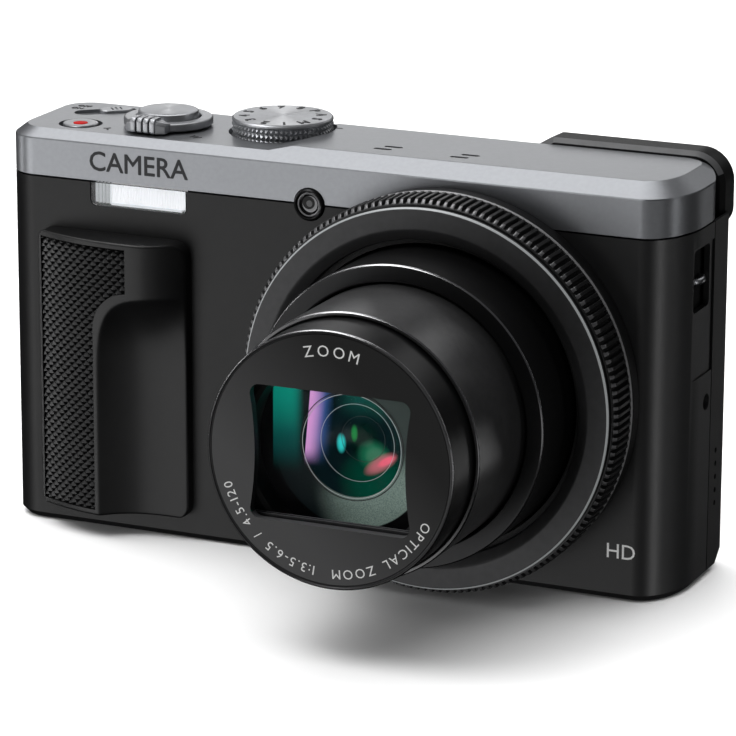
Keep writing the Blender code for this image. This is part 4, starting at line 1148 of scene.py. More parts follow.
def dome(name, size, vertex, front_bend, back_vertex, back_bend, rings=14):
    """Meniscus lens with two spherical faces."""
    profile = [(0.0, vertex)]
    for step in range(1, rings + 1):
        reach = size * step / rings
        profile.append((reach, vertex + front_bend - math.sqrt(front_bend ** 2 - reach ** 2)))
    for step in range(rings, 0, -1):
        reach = size * step / rings
        sag = back_bend - math.sqrt(back_bend ** 2 - reach ** 2)
        profile.append((reach, back_vertex + sag))
    profile.append((0.0, back_vertex))
    return turned(name, profile, LENS)


# ---------------------------------------------------------------- flash and lamp

def flash():
    """Clear window, white ribbed fresnel on its right that glows as painted light, and dark ribbed chrome at
    its left whose right-facing rib faces glow as painted highlights, with a glowing painted highlight strip
    along the window's foot.
    """
    low, high = FLASH_LOW, FLASH_HIGH
    split = low.x + 3.3
    window = prism("flash_cover", flash_outline(0.0), low.y, low.y + 0.5, "Y")
    soften(window, 0.1)
    made = piece(window, "clear_plastic", nodes=("flash_window",))
    made.visible_shadow = False
    ribs = ribbed("flash_fresnel", split, high.x - 0.3, 46, 0.10, low.z + 0.5, high.z - 0.1, low.y + 0.7)
    combine(ribs, [prism("edge", flash_outline(0.32), low.y, low.y + 9.0, "Y")], "INTERSECT")
    piece(ribs, "clear_plastic", look="flash_fresnel", smooth=15.0)
    dark = ribbed("flash_ribs", low.x + 0.15, split - 0.1, 5, 0.45, low.z + 0.2, high.z - 0.1, low.y + 0.9)
    combine(dark, [prism("edge", flash_outline(0.22), low.y, low.y + 9.0, "Y")], "INTERSECT")
    made = piece(dark, "reflector_chrome", smooth=25.0, look="flash_dark", nodes=("flash_reflector",))
    # Painted highlights: the rib faces that look to the right glow
    repaint(made, "rim_line", lambda at, normal: normal.x > 0.3)
    # Glowing strip that paints a highlight along the lower edge of the window
    strip = prism("flash_lip", box_outline((split, low.z + 0.12), (high.x - 0.9, low.z + 0.42)),
                  low.y + 0.55, low.y + 1.6, "Y")
    soften(strip, 0.08)
    piece(strip, "reflector_chrome", look="rim_line")


def ribbed(name, left, right, count, depth, low, high, front):
    """Plate with upright ribs along its front."""
    outline = []
    for rib in range(count):
        start = left + (right - left) * rib / count
        pitch = (right - left) / count
        outline += [(start, front + depth), (start + pitch * 0.5, front)]
    outline += [(right, front + depth), (right, front + depth + 0.6), (left, front + depth + 0.6)]
    return prism(name, outline, low, high)


def lamp():
    """Focus lamp: black bezel with a rounded lip and a clear lens in rings, with offset discs in it that
    paint a glint and its shade.
    """
    low, high = box("af_lamp_bezel")
    outer = radius("af_lamp_bezel")
    profile = [(1.9, high.y), (outer, high.y), (outer, low.y + 0.3), (outer - 0.08, low.y + 0.1),
               (outer - 0.25, low.y), (outer - 0.38, low.y + 0.06), (2.0, low.y + 0.4), (1.9, low.y + 0.7)]
    bezel = turned("lamp_bezel", profile, LAMP, segments=64)
    origin = (LAMP.x, low.y, LAMP.y)
    piece(bezel, "barrel_metal", nodes=("af_lamp_bezel",), origin=origin, smooth=50.0)
    low, high = box("af_lamp_lens")
    profile = [(0.0, low.y - 0.05), (0.45, low.y - 0.02), (0.75, low.y + 0.12), (0.78, low.y + 0.3),
               (0.98, low.y + 0.32), (1.02, low.y + 0.16), (1.4, low.y + 0.4), (1.6, low.y + 0.7),
               (1.88, low.y + 0.72), (1.88, high.y), (0.0, high.y)]
    glass = turned("lamp_lens", profile, LAMP, segments=64)
    piece(glass, "clear_plastic", nodes=("af_lamp_lens",), origin=origin, smooth=30.0, look="lamp_glass")
    line = turned("lamp_rim", [(1.62, low.y - 0.02), (1.74, low.y - 0.06), (1.86, low.y - 0.02),
                               (1.74, low.y + 0.3)], LAMP, segments=64)
    piece(line, "barrel_metal", origin=origin, smooth=30.0, look="lamp_grey")
    # Offset discs that paint the lens's glint: a light disc, a dark disc of painted shade before it, and a
    # light core
    for name, size, depth, look, shift in (("lamp_glint", 1.25, low.y - 0.02, "lamp_grey", (0.22, 0.10)),
                                           ("lamp_pupil", 1.0, low.y - 0.06, "inner_plastic", (0.0, 0.30)),
                                           ("lamp_core", 0.5, low.y - 0.10, "edge_grey", (0.15, 0.20))):
        spot = LAMP + Vector(shift)
        profile = [(0.0, depth), (size, depth), (size, low.y + 0.35), (0.0, low.y + 0.35)]
        disc = turned(name, profile, spot, segments=48)
        piece(disc, "barrel_metal", origin=origin, smooth=30.0, look=look)


# ---------------------------------------------------------------- top controls

def knurl(name, middle, size, low, high, count, rows, depth):
    """Closed band of square pyramids round a vertical axis, from low to high."""
    points, faces = [], []
    pitch = (high - low) / rows
    for row in range(rows):
        for corner, share, reach in ((0, 0.0, size - depth), (1, 0.42, size), (2, 1.0, size - depth)):
            if corner == 2 and row < rows - 1:
                continue
            for column in range(count):
                angle = math.tau * (column + (0.5 if corner == 1 else 0.0)) / count
                points.append((middle[0] + reach * math.cos(angle), middle[1] + reach * math.sin(angle),
                               low + pitch * (row + share)))
    for row in range(rows):
        start = row * 2 * count
        for column in range(count):
            after = (column + 1) % count
            a, b = start + column, start + after
            tip = start + count + column
            c, d = start + 2 * count + after, start + 2 * count + column
            faces += [(a, b, tip), (b, c, tip), (c, d, tip), (d, a, tip)]
    faces.append(list(range(count)))
    faces.append(list(range(rows * 2 * count, rows * 2 * count + count)))
    return solid(name, points, faces)


def mode_dial():
    """Mode dial: knurled side, bright rims, brushed top with letters."""
    low, high = box("mode_dial")
    size = radius("mode_dial")
    top = high.z
    band = knurl("dial_knurl", DIAL, size, 62.45, top - 0.75, 62, 3, 0.5)
    piece(band, "machined_metal", "mode_dial", (), (*DIAL, 62.0), 20.0)
    profile = [(0.0, low.z), (2.0, low.z), (2.0, 62.0), (size - 0.6, 62.0), (size - 0.25, 62.15),
               (size - 0.2, 62.35), (size - 0.45, 62.5), (size - 0.5, top - 0.85), (size - 0.2, top - 0.7),
               (size - 0.08, top - 0.55), (size - 0.1, top - 0.3), (size - 0.3, top - 0.1),
               (size - 0.55, top - 0.05), (size - 0.8, top - 0.08), (3.0, top - 0.02), (0.0, top)]
    body = turned("dial_core", profile, DIAL, "Z", 128)
    made = piece(body, "machined_metal", "mode_dial", ("mode_dial",), (*DIAL, 62.0), 30.0, "machined_metal")
    repaint(made, "brushed_metal", lambda at, normal: normal.z > 0.97 and at.z > 3.0)
    items = []
    marks = ("P", "A", "S", "M", "1", "2", "3", "4", "5", "6", "7", "8")
    for index, mark in enumerate(marks):
        angle = math.radians(57.0) - math.tau * index / len(marks)
        outward = Vector((math.cos(angle), math.sin(angle), 0.0))
        along = Vector((math.sin(angle), -math.cos(angle), 0.0))
        spot = Vector((*DIAL, top - 0.05)) + outward * 5.2
        items.append((mark, 2.3, facing(spot, along, outward)))
    lettering("dial_letters", items, "machined_metal", "mode_dial", weight=0.07)


def shutter_controls():
    """Shutter button, and the zoom lever round it with its ribbed tab."""
    low, high = box("shutter_button")
    size = radius("shutter_button")
    top = high.z
    profile = [(0.0, low.z), (1.9, low.z), (1.9, 64.4), (size - 0.25, 64.4), (size, 64.6),
               (size, top - 0.45), (size - 0.08, top - 0.28), (size - 0.25, top - 0.18),
               (size - 0.5, top - 0.12), (2.0, top - 0.02), (0.0, top)]
    cap = turned("shutter_cap", profile, SHUTTER, "Z", 96)
    made = piece(cap, "machined_metal", "shutter_button", ("shutter_button",), (*SHUTTER, 64.0), 30.0)
    repaint(made, "brushed_metal", lambda at, normal: normal.z > 0.95 and at.z > 1.0)

    low = box("zoom_lever")[0]
    size = 7.0
    profile = [(2.3, low.z), (size - 0.25, low.z), (size, low.z + 0.2), (size, low.z + 1.0),
               (size - 0.08, low.z + 1.18), (size - 0.3, low.z + 1.3), (5.45, low.z + 1.35),
               (5.2, low.z + 1.25), (5.1, low.z + 1.05), (5.1, low.z + 0.3), (2.3, low.z + 0.3)]
    lever = turned("zoom_collar", profile, SHUTTER, "Z", 96)
    piece(lever, "machined_metal", "zoom_lever", ("zoom_lever",), (*SHUTTER, 64.0), 40.0)
    outward = Vector((math.cos(LEVER_ANGLE), math.sin(LEVER_ANGLE), 0.0))
    side = Vector((-outward.y, outward.x, 0.0))
    rib_section = [(5.7, 0.05), (8.35, 0.05), (8.65, 0.35), (8.65, 1.8), (8.3, 2.35), (8.0, 2.42),
                   (6.3, 2.42), (5.7, 1.3)]
    wing_section = [(5.7, 0.05), (7.6, 0.05), (7.6, 1.2), (7.0, 1.6), (5.7, 1.3)]
    shoulder_section = [(5.7, 0.05), (8.3, 0.05), (8.3, 1.6), (7.9, 2.1), (5.9, 2.0)]
    web_section = [(5.6, 0.05), (8.2, 0.05), (8.2, 1.6), (7.8, 2.0), (6.4, 2.0), (5.6, 1.2)]

    def across(section, shift):
        """Ring of a section at a place across the tab."""
        return [Vector((*SHUTTER, low.z + up)) + outward * along + side * shift for along, up in section]

    ribs = []
    for index in range(4):
        offset = (index - 1.5) * 1.12
        ribs.append(loft("rib", [across(rib_section, offset - 0.43), across(rib_section, offset + 0.43)]))
    for turn in (-1.0, 1.0):
        ribs.append(loft("wing", [across(shoulder_section, turn * 2.1), across(wing_section, turn * 3.5)]))
    web = [across(web_section, -2.05), across(web_section, 2.05)]
    ribs_piece = soften(join("lever_ribs", ribs), 0.1)
    piece(ribs_piece, "machined_metal", "zoom_lever", (), (*SHUTTER, 64.0))
    # Painted shade: the web between the ribs takes a dark print look
    piece(loft("lever_web", web), "machined_metal", "zoom_lever", (), look="print_dark")


def record_and_power():
    """Record button with its red dot, and the power slider."""
    low, high = box("record_button")
    size = radius("record_button")
    top = high.z
    profile = [(0.0, low.z), (1.0, low.z), (1.0, 62.5), (size, 62.5), (size, top - 0.2),
               (size - 0.1, top - 0.06), (size - 0.3, top), (1.35, top - 0.08), (1.2, top - 0.12),
               (0.0, top - 0.12)]
    button = turned("record_cap", profile, RECORD_SPOT, "Z", 64)
    piece(button, "machined_metal", "record_button", ("record_button",), (*RECORD_SPOT, 63.0), 30.0)
    dot = turned("record_dot", [(0.0, top - 0.11), (1.15, top - 0.11), (1.12, top - 0.05), (0.9, top + 0.02),
                                (0.0, top + 0.06)], RECORD_SPOT, "Z", 48)
    piece(dot, "machined_metal", "record_button", (), (*RECORD_SPOT, 63.0), 30.0, "record_red")

    low, high = box("power_switch")
    spot = centre("power_switch").xy
    slider = stack("power_slider", [(slot_outline(spot, 1.2, 1.5, SWITCH_ANGLE), TOP_LOW - 0.48),
                                    (slot_outline(spot, 1.2, 1.5, SWITCH_ANGLE), high.z - 0.15),
                                    (slot_outline(spot, 1.2, 1.35, SWITCH_ANGLE), high.z)])
    along = (math.cos(SWITCH_ANGLE), math.sin(SWITCH_ANGLE))
    grooves = []
    for index in range(-1, 2):
        middle = (spot.x + 0.7 * index * along[0], spot.y + 0.7 * index * along[1])
        grooves.append(prism("notch", slot_outline(middle, 0.85, 0.14, SWITCH_ANGLE + math.pi / 2, 4),
                             high.z - 0.25, high.z + 1.0))
    combine(slider, grooves)
    soften(slider, 0.06)
    piece(slider, "machined_metal", "power_switch", ("power_switch",), (*spot, 63.0))


def top_marks():
    """Small dark marks on the silver top, and a word on its front."""
    flat_x, flat_y = (1.0, 0.0, 0.0), (0.0, 1.0, 0.0)
    left_plate = TOP_LOW + 0.01
    items = [("ON", 1.3, facing((-52.0, 4.3, left_plate), flat_x, flat_y)),
             ("OFF", 1.3, facing((-51.6, 6.1, left_plate), flat_x, flat_y)),
             ("T", 1.9, facing((-40.2, -7.6, left_plate), (0.85, 0.5, 0.0), (-0.5, 0.85, 0.0))),
             ("W", 1.9, facing((-25.9, -7.2, left_plate), (0.85, -0.5, 0.0), (0.5, 0.85, 0.0)))]
    lettering("top_marks", items, "silver_paint", "root", weight=0.05)
    word = [("CAMERA", 4.35, facing((-32.4, FRONT - 0.015, 57.9), flat_x, (0.0, 0.0, 1.0)))]
    lettering("front_word", word, "silver_paint", "root", weight=0.055)
    index_mark = prism("dial_index", box_outline((-7.1, 5.1), (-5.9, 5.6), 0.2, 3),
                       TOP_HIGH - 0.1, TOP_HIGH + 0.02)
    piece(index_mark, "silver_paint", look="print_dark", smooth=None)
    badge = [("HD", 3.3, facing((48.0, FRONT - 0.015, 6.6), flat_x, (0.0, 0.0, 1.0)))]
    lettering("front_badge", badge, "body_plastic", "root", "print_white")


# ---------------------------------------------------------------- viewfinder and back

def viewfinder():
    """Viewfinder housing at the top right of the back, its window, rubber frame and diopter wheel."""
    low, high = box("viewfinder_housing")
    right, top, back = high.x, high.z, high.y
    profile = rounded([(low.x, low.z, 0.8), (right, low.z, 3.2), (right, top, 5.0), (27.4, top, 0.8),
                       (low.x + 0.2, 63.6, 0.8)], 12)
    edge = 0.7
    front = rounded([(low.x + edge, low.z + edge, 0.3), (right - edge, low.z + edge, 2.5),
                     (right - edge, top - edge, 4.3), (27.4 + 0.3, top - edge, 0.5),
                     (low.x + 0.2 + edge, 63.6 - edge, 0.5)], 12)
    housing = stack("finder_housing", [(front, FINDER_SEAM + 0.22), (profile, FINDER_SEAM + 0.22 + edge),
                                       (profile, back)], "Y")
    lower_front = prism("finder_front", box_outline((low.x + edge, low.z + edge), (right - 1.5, SEAM)),
                        low.y, FINDER_SEAM + 1.5, "Y")
    combine(housing, [lower_front], "UNION")
    shell = prism("keep", finder_boundary(0.22), SEAM - 0.3, 90.0)
    lens_low, lens_high = box("eyepiece_lens")
    frame_low, frame_high = box("eyepiece_frame")
    window = box_outline((31.0, 55.2), (48.0, 62.2), 1.0)
    play = Vector((0.2, 0.2))
    recess = box_outline(frame_low.xz - play, frame_high.xz + play, 1.5)
    wheel = centre("diopter_wheel")
    reach = radius("diopter_wheel", 1) + 0.2
    wheel_slot = prism("slot", box_outline((wheel.x - 1.25, wheel.y - reach), (wheel.x + 1.25, 30.0)),
                       wheel.z - reach, wheel.z + reach)
    lens_room = prism("lens_room", circle(LENS, radius("lens_housing") + 0.4, 96), -5.0, 5.8, "Y")
    combine(housing, [shell, lens_room, prism("window", window, 10.6, 20.0, "Y"),
                      prism("recess", recess, 12.7, 20.0, "Y"), wheel_slot])
    made = piece(housing, "body_plastic", nodes=("viewfinder_housing",), smooth=25.0, look="finder_plastic")
    # Painted highlight: faces turned to the front and up are light grey
    repaint(made, "finder_edge", lambda at, normal: normal.y < -0.3 and normal.z > 0.3)
    rim = prism("eyepiece_rim", box_outline(frame_low.xz, frame_high.xz, 1.4), frame_low.y, frame_high.y, "Y")
    combine(rim, [prism("hole", window, 10.0, 20.0, "Y")])
    soften(rim, 0.3, 3)
    piece(rim, "eyecup_rubber", nodes=("eyepiece_frame",))
    glass = prism("eyepiece_glass", box_outline(lens_low.xz, lens_high.xz, 0.8), lens_low.y, lens_high.y, "Y")
    soften(glass, 0.3, 3)
    piece(glass, "lens_glass", nodes=("eyepiece_lens",), look="screen_glass")
    low, high = box("diopter_wheel")
    size = radius("diopter_wheel", 1)
    rows = [(0.4, low.x, 0.0), (size - 0.25, low.x, 0.0), (size, low.x + 0.2, 0.22),
            (size, high.x - 0.2, 0.22), (size - 0.25, high.x, 0.0), (0.4, high.x, 0.0)]
    wheel_piece = toothed("diopter_knob", rows, (wheel.y, wheel.z), 24,
                          [(0.0, 1.0), (0.3, 1.0), (0.5, 0.0), (0.8, 0.0)], "X")
    piece(wheel_piece, "button_plastic", "diopter_wheel", ("diopter_wheel",), wheel, 30.0)


def screen():
    """Screen glass with a printed border round the display."""
    low, high = box("lcd_glass")
    glass = prism("screen_cover", box_outline(low.xz, high.xz, 1.2, 8), low.y, high.y, "Y")
    soften(glass, 0.12)
    piece(glass, "screen_glass", nodes=("lcd_glass",))
    border = prism("screen_area", box_outline((low.x + 3.2, low.z + 2.6), (high.x - 3.2, high.z - 2.6), 0.3),
                   high.y - 0.05, high.y + 0.012, "Y")
    piece(border, "screen_glass", look="screen_display", smooth=None)


def back_controls():
    """Rear dial with its centre button, four round buttons, and their marks."""
    low, high = box("rear_dial")
    spot = centre("rear_dial")
    middle = (spot.x, spot.z)
    size = radius("rear_dial")
    rows = [(4.8, low.y, 0.0), (size - 0.2, low.y, 0.0), (size, low.y + 0.3, 0.0),
            (size, high.y - 1.1, 0.3), (size, high.y - 0.5, 0.3), (size - 0.15, high.y - 0.25, 0.2),
            (size - 0.5, high.y, 0.0),
            (size - 1.1, high.y - 0.05, 0.0), (5.4, high.y - 0.25, 0.0), (5.0, high.y - 0.35, 0.0),
            (4.8, high.y - 0.55, 0.0)]
    dial = toothed("rear_wheel", rows, middle, 60, [(0.0, 1.0), (0.3, 1.0), (0.45, 0.0), (0.85, 0.0)])
    piece(dial, "button_plastic", "rear_dial", ("rear_dial",), (spot.x, low.y, spot.z), 30.0)
    low, high = box("menu_button")
    size = radius("menu_button")
    profile = [(0.0, low.y), (size, low.y), (size, high.y - 0.45), (size - 0.1, high.y - 0.25),
               (size - 0.35, high.y - 0.1), (size - 0.7, high.y - 0.05), (2.0, high.y - 0.12),
               (0.0, high.y - 0.15)]
    cap = turned("menu_cap", profile, middle, segments=96)
    piece(cap, "button_plastic", "menu_button", ("menu_button",), (spot.x, low.y, spot.z), 30.0)
    for name in REAR_BUTTONS:
        low, high = box(name)
        at = centre(name)
        size = radius(name)
        profile = [(0.0, low.y), (size, low.y), (size, high.y - 0.4), (size - 0.08, high.y - 0.2),
                   (size - 0.28, high.y - 0.06), (size - 0.6, high.y), (0.0, high.y)]
        button = turned(name + "_cap", profile, (at.x, at.z), segments=64)
        piece(button, "button_plastic", name, (name,), (at.x, low.y, at.z), 30.0)
    left, up = (-1.0, 0.0, 0.0), (0.0, 0.0, 1.0)
    face = BACK + 0.01
    items = [("AF/AE", 1.35, facing((-46.0, face, 50.6), left, up)),
             ("PLAY", 1.35, facing((-30.5, face, 50.6), left, up)),
             ("Q.MENU", 1.35, facing((-46.0, face, 11.4), left, up)),
             ("DISP", 1.35, facing((-30.5, face, 11.4), left, up))]
    lettering("back_marks", items, "body_plastic", "root", "print_grey")
    menu = [("MENU", 1.5, facing((spot.x, box("menu_button")[1].y - 0.13, spot.z + 0.2), left, up)),
            ("SET", 1.5, facing((spot.x, box("menu_button")[1].y - 0.13, spot.z - 1.4), left, up))]
    lettering("menu_marks", menu, "button_plastic", "menu_button", "print_grey")


# ---------------------------------------------------------------- base and sides

def base_and_sides():
    """Battery door, latch, terminal door, strap lug, screws and the tripod socket."""
    low, high = box("battery_door")
    pin = (high.x - 0.6, (low.z + high.z) / 2)
    half = (high.z - low.z) / 2
    leaf = [(low.x, high.z), (low.x, low.z)]
    leaf += [(pin[0] + half * math.cos(a), pin[1] + half * math.sin(a))
             for a in [math.pi * (step / 12 - 0.5) for step in range(13)]]
    door = prism("battery_lid", leaf, low.y, high.y, "Y")
    latch_low, latch_high = box("battery_door_latch")
    slot = prism("slot", box_outline((latch_low.x - 0.3, latch_low.y - 0.3),
                                     (latch_high.x + 0.3, latch_high.y + 2.7), 0.5), -1.0, 3.0)
    combine(door, [slot])
    soften(door, 0.15)
    piece(door, "body_plastic", "battery_door", ("battery_door",))
    latch = prism("battery_latch", box_outline(latch_low.xy, latch_high.xy, 0.5), latch_low.z, latch_high.z)
    grooves = [prism("groove", box_outline((latch_low.x + 0.6, latch_low.y + start),
                                           (latch_high.x - 0.6, latch_low.y + start + 0.35)),
                     -1.0, latch_low.z + 0.25) for start in (0.8, 1.8, 2.8)]
    combine(latch, grooves)
    soften(latch, 0.1)
    piece(latch, "button_plastic", "battery_door_latch", ("battery_door_latch",))

    low, high = box("terminal_door")
    half = (high.x - low.x) / 2
    pin = ((low.x + high.x) / 2, low.y + half)
    leaf = [(high.x, high.y), (low.x, high.y)]
    leaf += [(pin[0] + half * math.cos(a), pin[1] + half * math.sin(a))
             for a in [math.pi * (1.0 + step / 12) for step in range(13)]]
    flap = prism("terminal_flap", leaf, low.z, high.z)
    combine(flap, [prism("nail", slot_outline((high.y - 0.4, (low.z + high.z) / 2), 3.0, 0.5, math.pi / 2),
                         -60.0, low.x + 0.35, "X")])
    soften(flap, 0.15)
    piece(flap, "body_plastic", "terminal_door", ("terminal_door",))

    low, high = box("strap_lug")
    lug = prism("lug_plate", box_outline(low.yz, high.yz, 0.6), low.x, 54.3, "X")
    piece(soften(lug, 0.15), "inner_plastic", nodes=("strap_lug",), look="inner_plastic")
    eye = []
    for step in range(25):
        angle = math.pi * step / 24
        eye.append((54.2 + 1.1 * math.sin(angle), 47.7, -0.6 + 2.3 * math.cos(angle)))
    rod = tube("lug_bar", eye, 0.62)
    piece(rod, "steel", smooth=50.0)

    spot = centre("side_screw")
    screw_head("side_screw_head", Vector((box("side_screw")[1].x, spot.y, spot.z)), Vector((1, 0, 0)), 1.1,
               ("side_screw",))
    for index, (x, y) in enumerate(((-52.6, -6.4), (50.5, -6.6), (50.5, 8.4), (-52.0, 8.2), (18.0, 8.2))):
        screw_head(f"base_screw_{index + 1}", Vector((x, y, 0.02)), Vector((0, 0, -1)), 1.05)
    for index, z in enumerate((8.0, 51.5)):
        spot = Vector((-HALF_WIDTH + 0.02, 0.0, z))
        screw_head(f"left_screw_{index + 1}", spot, Vector((-1, 0, 0)), 1.05)

    low, high = box("tripod_socket")
    spot = centre("tripod_socket").xy
    outer = radius("tripod_socket")
    bore = 3.05
    pitch = 1.27
    profile = [(outer, high.z), (outer, low.z + 0.1), (outer - 0.15, low.z), (bore + 0.5, low.z),
               (bore + 0.3, low.z + 0.15)]
    depth = low.z + 0.35
    while depth + pitch < high.z - 1.2:
        profile += [(bore + 0.32, depth), (bore, depth + pitch * 0.45), (bore, depth + pitch * 0.55)]
        depth += pitch
    profile += [(bore + 0.32, depth), (bore + 0.32, high.z - 1.0), (0.0, high.z - 1.0), (0.0, high.z)]
    socket = turned("tripod_thread", list(reversed(profile)), spot, "Z", 96)
    piece(socket, "steel", nodes=("tripod_socket",), origin=(*spot, low.z), smooth=25.0)


def tube(name, points, size, segments=20):
    """Round bar through points (x, z, y)."""
    rings = []
    spots = [Vector((x, y, z)) for x, z, y in points]
    for index, spot in enumerate(spots):
        before = spots[max(index - 1, 0)]
        after = spots[min(index + 1, len(spots) - 1)]
        ahead = (after - before).normalized()
        side = Vector((0.0, 0.0, 1.0))
        other = ahead.cross(side).normalized()
        rings.append([spot + (side * math.cos(turn) + other * math.sin(turn)) * size
                      for turn in [math.tau * step / segments for step in range(segments)]])
    return loft(name, rings)


def screw_head(name, face, outward, size, nodes=()):
    """Small cross-head screw whose head lies flush at a face point."""
    profile = [(0.0, -0.9), (size, -0.9), (size, -0.25), (size - 0.15, -0.08), (size - 0.4, -0.01),
               (0.0, 0.0)]
    head = turned(name, profile, (0.0, 0.0), "Z", 40)
    arm, width = size * 0.62, 0.14
    cross = [prism("arm", box_outline((-arm, -width), (arm, width)), -0.45, 1.0),
             prism("arm", box_outline((-width, -arm), (width, arm)), -0.45, 1.0)]
    combine(head, cross)
    soften(head, 0.04)
    turn = outward.to_track_quat("Z", "Y").to_matrix().to_4x4()
    turn.translation = (face - outward * 0.12) * MM
    head.data.transform(turn)
    piece(head, "steel", nodes=nodes, look="screw_black" if not nodes else "steel")


# ---------------------------------------------------------------- carried-over nodes

def dress_frame_nodes():
    """Gives a look to every frame node that no piece stands for."""
    for name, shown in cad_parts.items():
        if not shown.hide_render:
            shown.data.materials.clear()
            shown.data.materials.append(LOOKS[NODE_LOOKS.get(name, "inner_plastic")])


# ---------------------------------------------------------------- studio

def area_light(name, direction, distance, size, power, colour=(1.0, 1.0, 1.0), target=(0.0, -15.0, 34.0)):
    """Soft rectangular light that faces the object and stays out of the camera's sight."""
    data = bpy.data.lights.new(name, "AREA")
    data.shape = "RECTANGLE"
    data.size, data.size_y = size
    data.energy = power
    data.color = colour
    light = bpy.data.objects.new(name, data)
    aim = Vector(direction).normalized()
    light.location = Vector(target) * MM + aim * distance
    light.rotation_mode = "QUATERNION"
    light.rotation_quaternion = aim.to_track_quat("Z", "Y")
    light.visible_camera = False
    bpy.context.collection.objects.link(light)
    return light


def group(name, members, state="INCLUDE"):
    """Collection of the objects that a light shines on, or leaves out."""
    made = bpy.data.collections.new(name)
    for index, member in enumerate(members):
        made.objects.link(member)
        made.collection_objects[index].light_linking.link_state = state
    return made


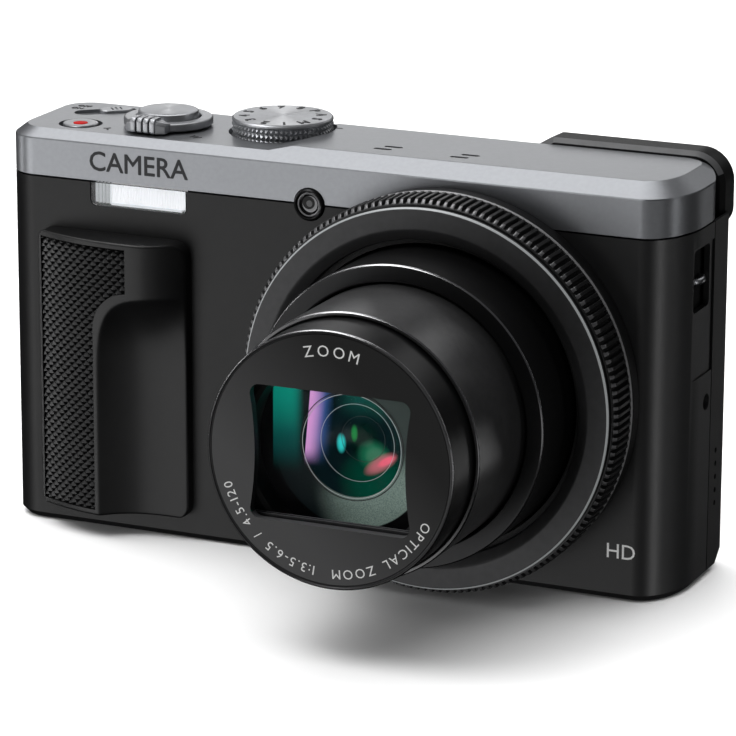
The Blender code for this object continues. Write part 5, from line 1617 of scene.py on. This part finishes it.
def studio():
    """Pale floor, bright background and soft lights."""
    scene = bpy.context.scene
    scene.view_settings.view_transform = "Standard"
    floor_mesh = bpy.data.meshes.new("floor")
    reach = 6.0
    corners = [(-reach, -reach, 0.0), (reach, -reach, 0.0), (reach, reach, 0.0), (-reach, reach, 0.0)]
    floor_mesh.from_pydata(corners, [], [(0, 1, 2, 3)])
    floor = bpy.data.objects.new("floor", floor_mesh)
    floor.location.z = -0.0001
    bpy.context.collection.objects.link(floor)
    floor.data.materials.append(surface("floor_paper", (0.86, 0.86, 0.86), 0.85, 0.0, 3.0, 0.01, 0.01, 0.03,
                                        Specular_IOR_Level=0.0))
    floor.visible_glossy = False
    floor.visible_shadow = False
    floor.visible_diffuse = False

    world = bpy.data.worlds.new("studio")
    scene.world = world
    world.use_nodes = True
    tree = world.node_tree
    background = tree.nodes["Background"]
    height = node(tree, "SeparateXYZ", {"Vector": node(tree, "TexCoord", {}, "Generated")}, "Z")
    sky = blend_colours(tree, remap(tree, height, 0.0, 1.0, -0.1, 0.6), (0.004, 0.004, 0.004),
                        (0.06, 0.06, 0.062))
    seen = node(tree, "LightPath", {}, "Is Camera Ray")
    tree.links.new(blend_colours(tree, seen, sky, (1.0, 1.0, 1.0)), background.inputs["Color"])

    floor_only = group("floor_only", [floor])
    for name, power in (("floor_light", 3.4), ("floor_fill", 1.1)):
        data = bpy.data.lights.new(name, "SUN")
        data.energy = power
        data.angle = math.radians(100.0)
        sun = bpy.data.objects.new(name, data)
        bpy.context.collection.objects.link(sun)
        sun.light_linking.receiver_collection = floor_only
        if name == "floor_light":
            sun.rotation_euler = (math.radians(-12.0), math.radians(-14.0), 0.0)
        else:
            sun.light_linking.blocker_collection = floor_only

    front_lights = [area_light("low_left", (-0.39, -0.87, -0.27), 0.60, (0.45, 0.40), 0.66),
                    area_light("near_left", (-0.75, -0.60, 0.0), 0.45, (0.12, 0.50), 0.35),
                    area_light("front_low", (0.14, -0.95, -0.26), 1.0, (0.55, 0.30), 0.28)]
    left = area_light("left", (-0.95, -0.10, -0.05), 0.90, (0.10, 0.80), 0.9)
    area_light("top", (-0.34, 0.32, 0.90), 0.80, (0.90, 0.50), 2.9)
    area_light("top_front", (-0.35, -0.35, 0.87), 0.80, (0.50, 0.25), 1.9)
    area_light("back_left", (-0.40, 0.88, 0.26), 0.90, (0.40, 0.25), 0.42)
    area_light("back_up", (0.30, 0.90, 0.50), 0.90, (0.40, 0.30), 0.25)
    area_light("low_back_right", (0.42, 0.88, -0.22), 0.90, (0.08, 0.20), 0.05)
    area_light("right_side", (0.95, 0.20, 0.10), 0.90, (0.08, 0.80), 0.5)
    right_front = area_light("right_front", (0.77, -0.64, -0.25), 1.0, (0.98, 0.40), 0.40)
    corner = area_light("right_corner", (0.90, -0.33, -0.27), 0.90, (0.07, 0.90), 2.4)
    barrels = area_light("barrel_side", (0.42, 0.88, -0.22), 0.90, (0.12, 0.24), 0.10)

    pad_light = area_light("pad_light", (-0.40, -0.35, 0.85), 0.60, (0.35, 0.25), 1.3)

    pad = [bpy.data.objects["grip_pad_pyramids"]]
    shell = [bpy.data.objects["front_shell"]]
    lens = [bpy.data.objects[name] for name in ("outer_barrel", "middle_barrel", "front_barrel")]
    for receivers, lights in ((group("pad_only", pad), [pad_light]),
                              (group("no_pad", pad, "EXCLUDE"), front_lights),
                              (group("no_shell", shell, "EXCLUDE"), [left, right_front]),
                              (group("shell_only", shell), [corner]),
                              (group("barrels_only", lens), [barrels])):
        for light in lights:
            light.light_linking.receiver_collection = receivers


def camera():
    """Camera at the photograph's angle, with the slight shift of its framing."""
    azimuth, elevation, roll = math.radians(23.95), math.radians(15.62), math.radians(0.18)
    target = Vector((5.55, -12.5, 32.13)) * MM
    distance = 631.06 * MM
    back = Vector((math.sin(azimuth) * math.cos(elevation), -math.cos(azimuth) * math.cos(elevation),
                   math.sin(elevation)))
    right = Vector((math.cos(azimuth), math.sin(azimuth), 0.0))
    up = back.cross(right)
    turned_right = right * math.cos(roll) + up * math.sin(roll)
    turned_up = up * math.cos(roll) - right * math.sin(roll)
    data = bpy.data.cameras.new("camera")
    data.sensor_width = 36.0
    data.lens = 202.6
    data.shift_x = 0.00715
    data.shift_y = -0.00645
    data.clip_start = 0.05
    data.clip_end = 50.0
    made = bpy.data.objects.new("camera", data)
    matrix = Matrix((turned_right, turned_up, back)).transposed().to_4x4()
    matrix.translation = target + back * distance
    made.matrix_world = matrix
    bpy.context.collection.objects.link(made)
    bpy.context.scene.camera = made


def main():
    """Makes the looks, the pieces, the studio and the camera."""
    make_looks()
    lens_looks()
    front_cover()
    top_cover()
    rear_cover()
    grip_frame()
    grip_pad()
    lens_rings()
    lens_barrels()
    lens_nose()
    lens_glass()
    flash()
    lamp()
    mode_dial()
    shutter_controls()
    record_and_power()
    top_marks()
    viewfinder()
    screen()
    back_controls()
    base_and_sides()
    dress_frame_nodes()
    studio()
    camera()


main()
